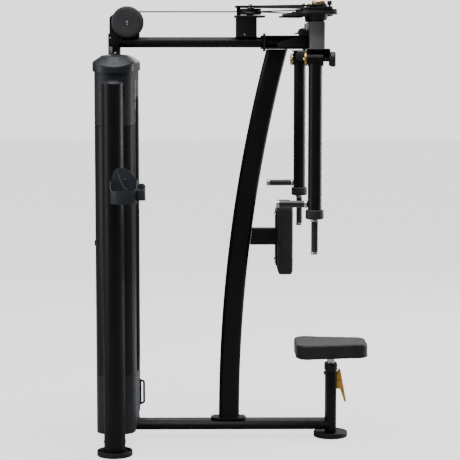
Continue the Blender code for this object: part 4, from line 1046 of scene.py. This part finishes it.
def holder_rib():
    """A moulded rib that runs from the arch down to the scoop's rim."""
    low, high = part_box("bottle_holder")
    back, front = high[1] - 6 * MM, low[1] + 2.5 * MM
    curve = [(low[0] + 0.030, back, 1.352), (low[0] + 0.036, back - 0.012, 1.335),
             (low[0] + 0.048, back - 0.035, 1.302), (low[0] + 0.064, back - 0.062, 1.273),
             (low[0] + 0.084, front + 0.004, 1.2585)]
    rib = tube("holder_rib", curve, 2.2 * MM, False, 4)
    finish_piece(rib, "frame", "holder_plastic")


# ------------------------------------------------------------ overhead pieces
def pulley_cover(side, s):
    """A round cover with raised rings on its face."""
    node = f"pulley_cover_{side}"
    low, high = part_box(node)
    radius, half = (high[0] - low[0]) / 2, (high[1] - low[1]) / 2
    bore = 0.0063
    profile = [(bore, half - 1 * MM), (0.012, half - 1 * MM)]
    for r in (0.016, 0.030, 0.044):
        groove = half - 0.8 * MM
        profile += [(r, half), (r + 0.010, half), (r + 0.0115, groove), (r + 0.0128, groove)]
    profile += [(0.060, half), (radius - 0.006, half - 2.2 * MM), (radius, half - 6 * MM),
                (radius, -half), (bore, -half)]
    centre = middle_of("top_pulley")
    cover = turned(f"{node}_fine", fillet(profile, 0.8 * MM),
                   (centre.x, (low[1] + high[1]) / 2, centre.z), heading((0, s, 0)), 128, closed=True)
    stands_for(cover, node, "cover_plastic")


def pulley_head():
    """The double pulley at the back of the top beam, with its covers and axle."""
    refined("neck", 0.8 * MM)
    refined("pulley_bracket", 1.0 * MM)
    for side, s in SIDES:
        pulley_cover(side, s)
    centre = middle_of("top_pulley")
    low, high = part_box("top_pulley_axle")
    left, right = low[1], high[1]
    shaft = [(0, right - 0.008), (0.006, right - 0.008), (0.006, left + 0.008), (0, left + 0.008)]
    parts = [turned("axle_shaft", shaft, (centre.x, 0, centre.z), heading((0, 1, 0)), 48)]
    for s, y in ((-1, left), (1, right)):
        seat_y = y - s * 0.0065
        parts += hex_bolt((centre.x, seat_y, centre.z), (0, s, 0), 6.0 * MM)
        parts += button_bolt((centre.x, seat_y, centre.z - 0.0135), (0, s, 0), 3.5 * MM)
    stands_for(joined("top_pulley_axle_fine", parts), "top_pulley_axle", "bolt_steel")
    refined("top_pulley", 0.8 * MM)
    neck_details()


def neck_details():
    """Two screws and a bright strip on each side of the neck."""
    low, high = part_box("neck")
    heads, strips = [], []
    for s in (-1, 1):
        outward = (0, s, 0)
        heads += button_bolt((high[0] - 0.022, s * high[1], 1.880), outward, 6 * MM)
        heads += button_bolt((low[0] + 0.012, s * 0.0556, 1.952), outward, 4 * MM)
    bolts("neck_screws", heads)
    for s in (-1, 1):
        strips.append(box(f"neck_strip_{s}", (low[0] + 0.007, low[0] + 0.021),
                          sorted((s * high[1], s * (high[1] + 2 * MM))), (1.878, 1.912), 0.6 * MM))
    trim_piece(joined("neck_strips", strips), "frame", "zinc_steel")


def guide_head():
    """The pedestal that carries the two guide pulleys under the lid plate."""
    refined("guide_pedestal", 1.2 * MM, "head_coat")
    refined("tie_plate", 1.2 * MM, "head_coat")
    for side, _ in SIDES:
        refined(f"guide_pulley_{side}", 0.6 * MM)
    heads = []
    lid_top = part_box("tie_plate")[1][2]
    lid_under = lid_top - LID_THICK
    for side, _ in SIDES:
        pulley = middle_of(f"guide_pulley_{side}")
        heads += hex_bolt((pulley.x, pulley.y, lid_top), (0, 0, 1), 9 * MM)
        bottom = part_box(f"guide_pulley_{side}")[1][2] + 0.2 * MM
        profile = [(0.0065, lid_under), (0.012, lid_under), (0.012, bottom), (0.0065, bottom)]
        heads.append(turned(f"guide_spacer_{side}", profile, (pulley.x, pulley.y, 0), sides=48,
                            closed=True))
    screw_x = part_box("guide_pedestal")[0][0] + 0.050
    for s in (-1, 1):
        heads += button_bolt((screw_x, s * 0.0605, 1.969), (0, s, 0), 5 * MM)
    bolts("guide_head_bolts", heads)
    base_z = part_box("top_beam")[1][2]
    beads("pedestal_welds", "frame", [[(0.058 + x, y, base_z + 0.6 * MM)
                                       for x, y in rectangle(0.1005, 0.090, 0.008)]])


def head():
    """The cross-beam that carries both pivots, and the plates that clamp it."""
    refined("head_crossbeam", 1.0 * MM)
    refined("head_clamp", 1.2 * MM, "head_coat")
    low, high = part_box("head_crossbeam")
    clamp_low, clamp_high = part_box("head_clamp")
    lid_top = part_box("tie_plate")[1][2]
    beam_z = (1.8985, 2.0280)
    centre_x, centre_z = (low[0] + high[0]) / 2, sum(beam_z) / 2
    screw_x = clamp_low[0] + 0.017
    up, down = (0, 0, 1), (0, 0, -1)
    side_plate = [(0.205, 1.9085), (0.346, 1.9085), (0.346, 1.9565), (0.290, 1.9565),
                  (0.205, 1.9285)]
    for side, s in SIDES:
        # The end plates are coloured light grey as painted reflection, standing in for the sheen of the
        # flat end faces.
        cap = extruded(f"crossbeam_cap_{side}",
                       [rectangle(high[0] - low[0] - 1 * MM, 0.1285, 0.006)], 3.0 * MM,
                       (centre_x, s * (high[1] + 1.6 * MM), centre_z), ALONG_Y, 1.0 * MM)
        finish_piece(cap, "frame", "end_grey_painted_reflection")
        screws = button_bolt((screw_x, s * 0.0565, clamp_high[2]), up, 6 * MM)
        screws += hex_bolt((screw_x, s * 0.0565, clamp_low[2]), down, 6 * MM)
        screws += hex_bolt((0.298, s * 0.0500, clamp_high[2]), up, 8 * MM)
        screws += hex_bolt((0.325, s * 0.160, lid_top), up, 9 * MM)
        bolts(f"clamp_bolts_{side}", screws)
        gusset = extruded(f"clamp_side_{side}", [side_plate], 3.5 * MM, (0, s * 0.0650, 0), ALONG_Y,
                          1 * MM)
        finish_piece(gusset, "frame", "head_coat")
    stop_roller(clamp_high[2])


def stop_roller(floor_z):
    """The rubber roller above the clamp, on its small post."""
    half = [(0, 0.062), (0.012, 0.062), (0.013, 0.059), (0.017, 0.059), (0.0195, 0.055)]
    profile = half + [(radius, -height) for radius, height in reversed(half)]
    roller = turned("stop_roller", fillet(profile, 2 * MM), (0.3270, 0, 1.981), ALONG_Y, 64)
    finish_piece(roller, "frame", "cover_plastic")
    post = box("stop_post", (0.317, 0.337), (-0.030, 0.030), (floor_z - 1 * MM, 1.970), 1.2 * MM)
    trim_piece(post, "frame", "powder_coat")


def pad_bracket():
    """The bracket on the mast, with four bolts through its plate."""
    refined("pad_bracket", 1.0 * MM)
    plate_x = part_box("pad_bracket")[1][0] - 6 * MM
    heads = []
    for z in (0.878, 1.102):
        for s in (-1, 1):
            heads += hex_bolt((plate_x, s * 0.050, z), (-1, 0, 0), 7 * MM)
    bolts("pad_bolts", heads)


def cables():
    """The level runs, and the drops that shorten as the plates rise."""
    for side, _ in SIDES:
        refined(f"cable_run_{side}", 0.0, degrees=60)
        drop = refined(f"cable_drop_{side}", 0.0, degrees=60)
        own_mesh(drop)


# ------------------------------------------------------------ swinging pieces
def hinge(side, s):
    """Where an arm's hinge is, and its axis outwards along the boom's yoke."""
    joint = JOINTS[f"arm_{side}_sway"]
    return Vector(joint["pos_m"]), Vector(joint["axis"]) * s


def pivots():
    """The cams, and the booms that turn about the same shafts."""
    for side, _ in SIDES:
        refined(f"cam_{side}", 0.8 * MM, "head_coat")
        refined(f"boom_{side}", 1.0 * MM)
        refined(f"boom_hub_{side}", 1.2 * MM, "head_coat")
        pos = JOINTS[f"cam_{side}_turn"]["pos_m"]
        place = (pos[0], pos[1], 0)
        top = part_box(f"boom_{side}")[1][2]
        bore, hub_face = 0.0206, 2.0992
        profile = [(bore, top + 0.011), (0.028, top + 0.011), (0.0315, top + 0.007),
                   (0.0315, top - 0.003), (bore, top - 0.003)]
        ring = turned(f"brass_ring_{side}", fillet(profile, 1 * MM), place, closed=True)
        finish_piece(ring, f"boom_{side}", "brass")
        profile = [(bore, top - 0.0035), (0.036, top - 0.0035), (0.0395, top - 0.007),
                   (0.0395, hub_face), (bore, hub_face)]
        collar = turned(f"hub_collar_{side}", fillet(profile, 1 * MM), place, closed=True)
        finish_piece(collar, f"boom_{side}", "powder_coat")
        pop_pin(f"pop_pin_{side}")


def pop_pin(node):
    """A pull knob with grip flutes, on its pin."""
    low_z, high_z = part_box(node)[0][2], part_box(node)[1][2]
    centre = middle_of(node)
    profile = [(0, high_z), (0.009, high_z), (0.0115, high_z - 0.0025), (0.0115, high_z - 0.018),
               (0.0095, high_z - 0.0205), (0.0045, high_z - 0.0205), (0.0045, low_z + 0.0015),
               (0.0035, low_z), (0, low_z)]
    knob = turned(f"{node}_fine", fillet(profile, 0.8 * MM), (centre.x, centre.y, 0))
    for vertex in knob.data.vertices:
        out = Vector((vertex.co.x - centre.x, vertex.co.y - centre.y, 0))
        if out.length > 0.009 and high_z - 0.019 < vertex.co.z < high_z - 0.001:
            angle = math.atan2(out.y, out.x)
            vertex.co -= out.normalized() * 0.5 * MM * (0.5 + 0.5 * math.cos(16 * angle))
    stands_for(knob, node)


def circled(count):
    """Angles evenly spaced round a circle."""
    return [2 * math.pi * i / count for i in range(count)]


def arms():
    """Each arm: the barrel on its hinge pin, the hanging tube and the handles."""
    for side, s in SIDES:
        place, axis = hinge(side, s)
        body = f"arm_{side}"
        turn = heading(axis)
        centre = (place.x, place.y, 0)
        bottom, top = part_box(body)[0][2], place.z - 0.012
        core_z = middle_of(f"grip_level_{side}").z
        profile = [(0.0105, 0.036), (0.030, 0.036), (0.030, -0.036), (0.0105, -0.036)]
        barrel = turned(f"arm_barrel_{side}", fillet(profile, 1.2 * MM), place, turn, closed=True)
        shaft = turned(f"arm_tube_{side}", [(0.031, top), (0.031, bottom), (0.028, bottom),
                                            (0.028, top)], centre, closed=True)
        core = turned(f"handle_core_{side}", [(0, -0.020), (0.0105, -0.020), (0.0105, -0.170),
                                              (0, -0.170)], (place.x, place.y, core_z), turn, 64)
        stands_for(joined(f"arm_{side}_fine", [barrel, shaft, core]), body)
        arm_welds(body, place, axis, core_z)
        hinge_details(side, place, axis)
        grips(side, place, axis, core_z)


def arm_welds(body, place, axis, core_z):
    """Beads where the tube meets its barrel and where the level handle leaves it."""
    barrel_path = []
    for a in circled(48):
        drop = math.sqrt(max(0, 0.0300 ** 2 - (0.0300 * math.sin(a)) ** 2)) * 0.62 + 0.006
        barrel_path.append((place.x + 0.0315 * math.cos(a), place.y + 0.0315 * math.sin(a),
                            place.z - drop))
    spin = Matrix.Rotation(math.atan2(axis.y, axis.x), 3, "Z")
    start = Vector((place.x, place.y, core_z))
    handle_path = [start + spin @ Vector((-0.0315, 0.0125 * math.cos(a), 0.0125 * math.sin(a)))
                   for a in circled(24)]
    beads(body.replace("arm_", "arm_welds_"), body, [barrel_path, handle_path])


def hinge_details(side, place, axis):
    """The round end cap outside the ear, and the brass flange at the pin's other end."""
    turn = heading(axis)
    node, boom = f"hinge_pin_{side}", f"boom_{side}"
    cap = 0.0655 + 0.3 * MM
    inner, outer = -0.0480, -0.0375
    profile = [(0, cap + 0.022), (0.020, cap + 0.024), (0.029, cap + 0.024), (0.0335, cap + 0.019),
               (0.0335, cap + 0.003), (0.031, cap), (0.010, cap), (0.010, inner), (0, inner)]
    pin = turned(f"{node}_fine", fillet(profile, 2.5 * MM), place, turn)
    stands_for(pin, node, "black_plastic")
    profile = [(0.0101, outer), (0.0285, outer), (0.0300, outer - 2 * MM),
               (0.0300, inner + 2 * MM), (0.0280, inner), (0.0101, inner)]
    brass = turned(f"brass_flange_{side}", fillet(profile, 1.0 * MM), place, turn, closed=True)
    finish_piece(brass, boom, "brass")
    nut = hex_bolt(place + axis * inner, -axis, 7 * MM)
    bolts(f"hinge_nuts_{side}", nut, body=boom)


def ribbed(node, low_z, high_z, place, turn, material, depth):
    """A rubber grip: shallow rings along its length and rounded ends."""
    bore, radius, edge, pitch = 0.0108, 0.0155, 1.5 * MM, 4.0 * MM
    points = [(bore, high_z), (radius - edge, high_z), (radius, high_z - edge)]
    for i in range(int((high_z - low_z - 2 * pitch) / pitch)):
        z = high_z - (i + 1) * pitch
        points += [(radius, z), (radius - depth, z - 0.7 * MM), (radius - depth, z - 1.3 * MM),
                   (radius, z - 2.0 * MM)]
    points += [(radius, low_z + edge), (radius - edge, low_z), (bore, low_z)]
    piece = turned(f"{node}_fine", points, place, turn, 64, closed=True, smooth=40)
    return stands_for(piece, node, material)


def end_cap(name, low, high, radius, place, turn, body):
    """A silver plug or ring at the end of a grip."""
    profile = fillet([(0, high), (radius, high), (radius, low), (0, low)], 1.5 * MM)
    return trim_piece(turned(name, profile, place, turn, 64), body, "zinc_steel")


def grips(side, place, axis, core_z):
    """The level handle's grip, and the collar and upright grip at the arm's foot."""
    body = f"arm_{side}"
    turn = heading(axis)
    level_place = (place.x, place.y, core_z)
    ribbed(f"grip_level_{side}", -0.1565, -0.0475, level_place, turn, "grip_gloss", 0.1 * MM)
    end_cap(f"level_cap_{side}", -0.172, -0.157, 0.0165, level_place, turn, body)
    end_cap(f"level_ring_{side}", -0.047, -0.034, 0.0165, level_place, turn, body)
    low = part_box(f"grip_upright_{side}")[0][2]
    centre = (place.x, place.y, 0)
    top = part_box(body)[0][2] - 0.3 * MM
    profile = [(0.012, top), (0.037, top), (0.041, top - 0.004), (0.041, 1.145), (0.036, 1.140),
               (0.012, 1.140)]
    collar = turned(f"arm_collar_{side}", fillet(profile, 2 * MM), centre, closed=True)
    trim_piece(collar, body, "rubber_grip")
    ribbed(f"grip_upright_{side}", low + 0.0135, 1.129, centre, ALONG_Z, "rubber_grip", 0.4 * MM)
    end_cap(f"upright_cap_{side}_silver", low, low + 0.013, 0.0165, centre, ALONG_Z, body)
    end_cap(f"upright_ring_{side}_silver", 1.1295, 1.1395, 0.0185, centre, ALONG_Z, body)


# ---------------------------------------------------------------------- seat
def lever_cheeks():
    """Yellow cheeks that fork over the lugs on the post, each with two screws."""
    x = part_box("seat_lever")[0][0]
    outline = [(x + 0.0004, 0.240), (x + 0.018, 0.240), (x + 0.0265, 0.262), (x + 0.0185, 0.322),
               (x + 0.0125, 0.331), (x + 0.0004, 0.318)]
    cheeks, screws = [], []
    for s in (-1, 1):
        cheeks.append(extruded(f"lever_cheek_{s}", [outline], 1.6 * MM, (0, s * 0.0178, 0), ALONG_Y,
                               0.5 * MM))
        for out, z in ((0.008, 0.310), (0.012, 0.284)):
            screws += button_bolt((x + out, s * 0.0186, z), (0, s, 0), 3.5 * MM)
    trim_piece(joined("lever_cheeks", cheeks), "seat_lever", "yellow_lever")
    bolts("lever_screws", screws, "bolt_dark", "seat_lever")


def seat():
    """The post with its sleeve and slide, the release lever and the pad."""
    refined("seat_post", 0.8 * MM, degrees=40)
    refined("seat_sleeve", 5.0 * MM, segments=4, degrees=50)
    refined("seat_slide", 0.8 * MM)
    refined("seat_lever", 1.2 * MM)
    lever_cheeks()
    seat_pad()
    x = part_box("seat_post")[0][0]
    heads = hex_bolt((x, 0, 0.316), (-1, 0, 0), 10 * MM)
    lever_x, _, lever_z = JOINTS["seat_lever_pull"]["pos_m"]
    for s in (-1, 1):
        heads += hex_bolt((lever_x, s * 0.0166, lever_z), (0, s, 0), 4 * MM)
    bolts("seat_post_bolts", heads)


stage()
base()
mast()
shroud()
stack()
bottle_holder()
pulley_head()
guide_head()
head()
pad_bracket()
chest_pad()
cables()
pivots()
arms()
seat()
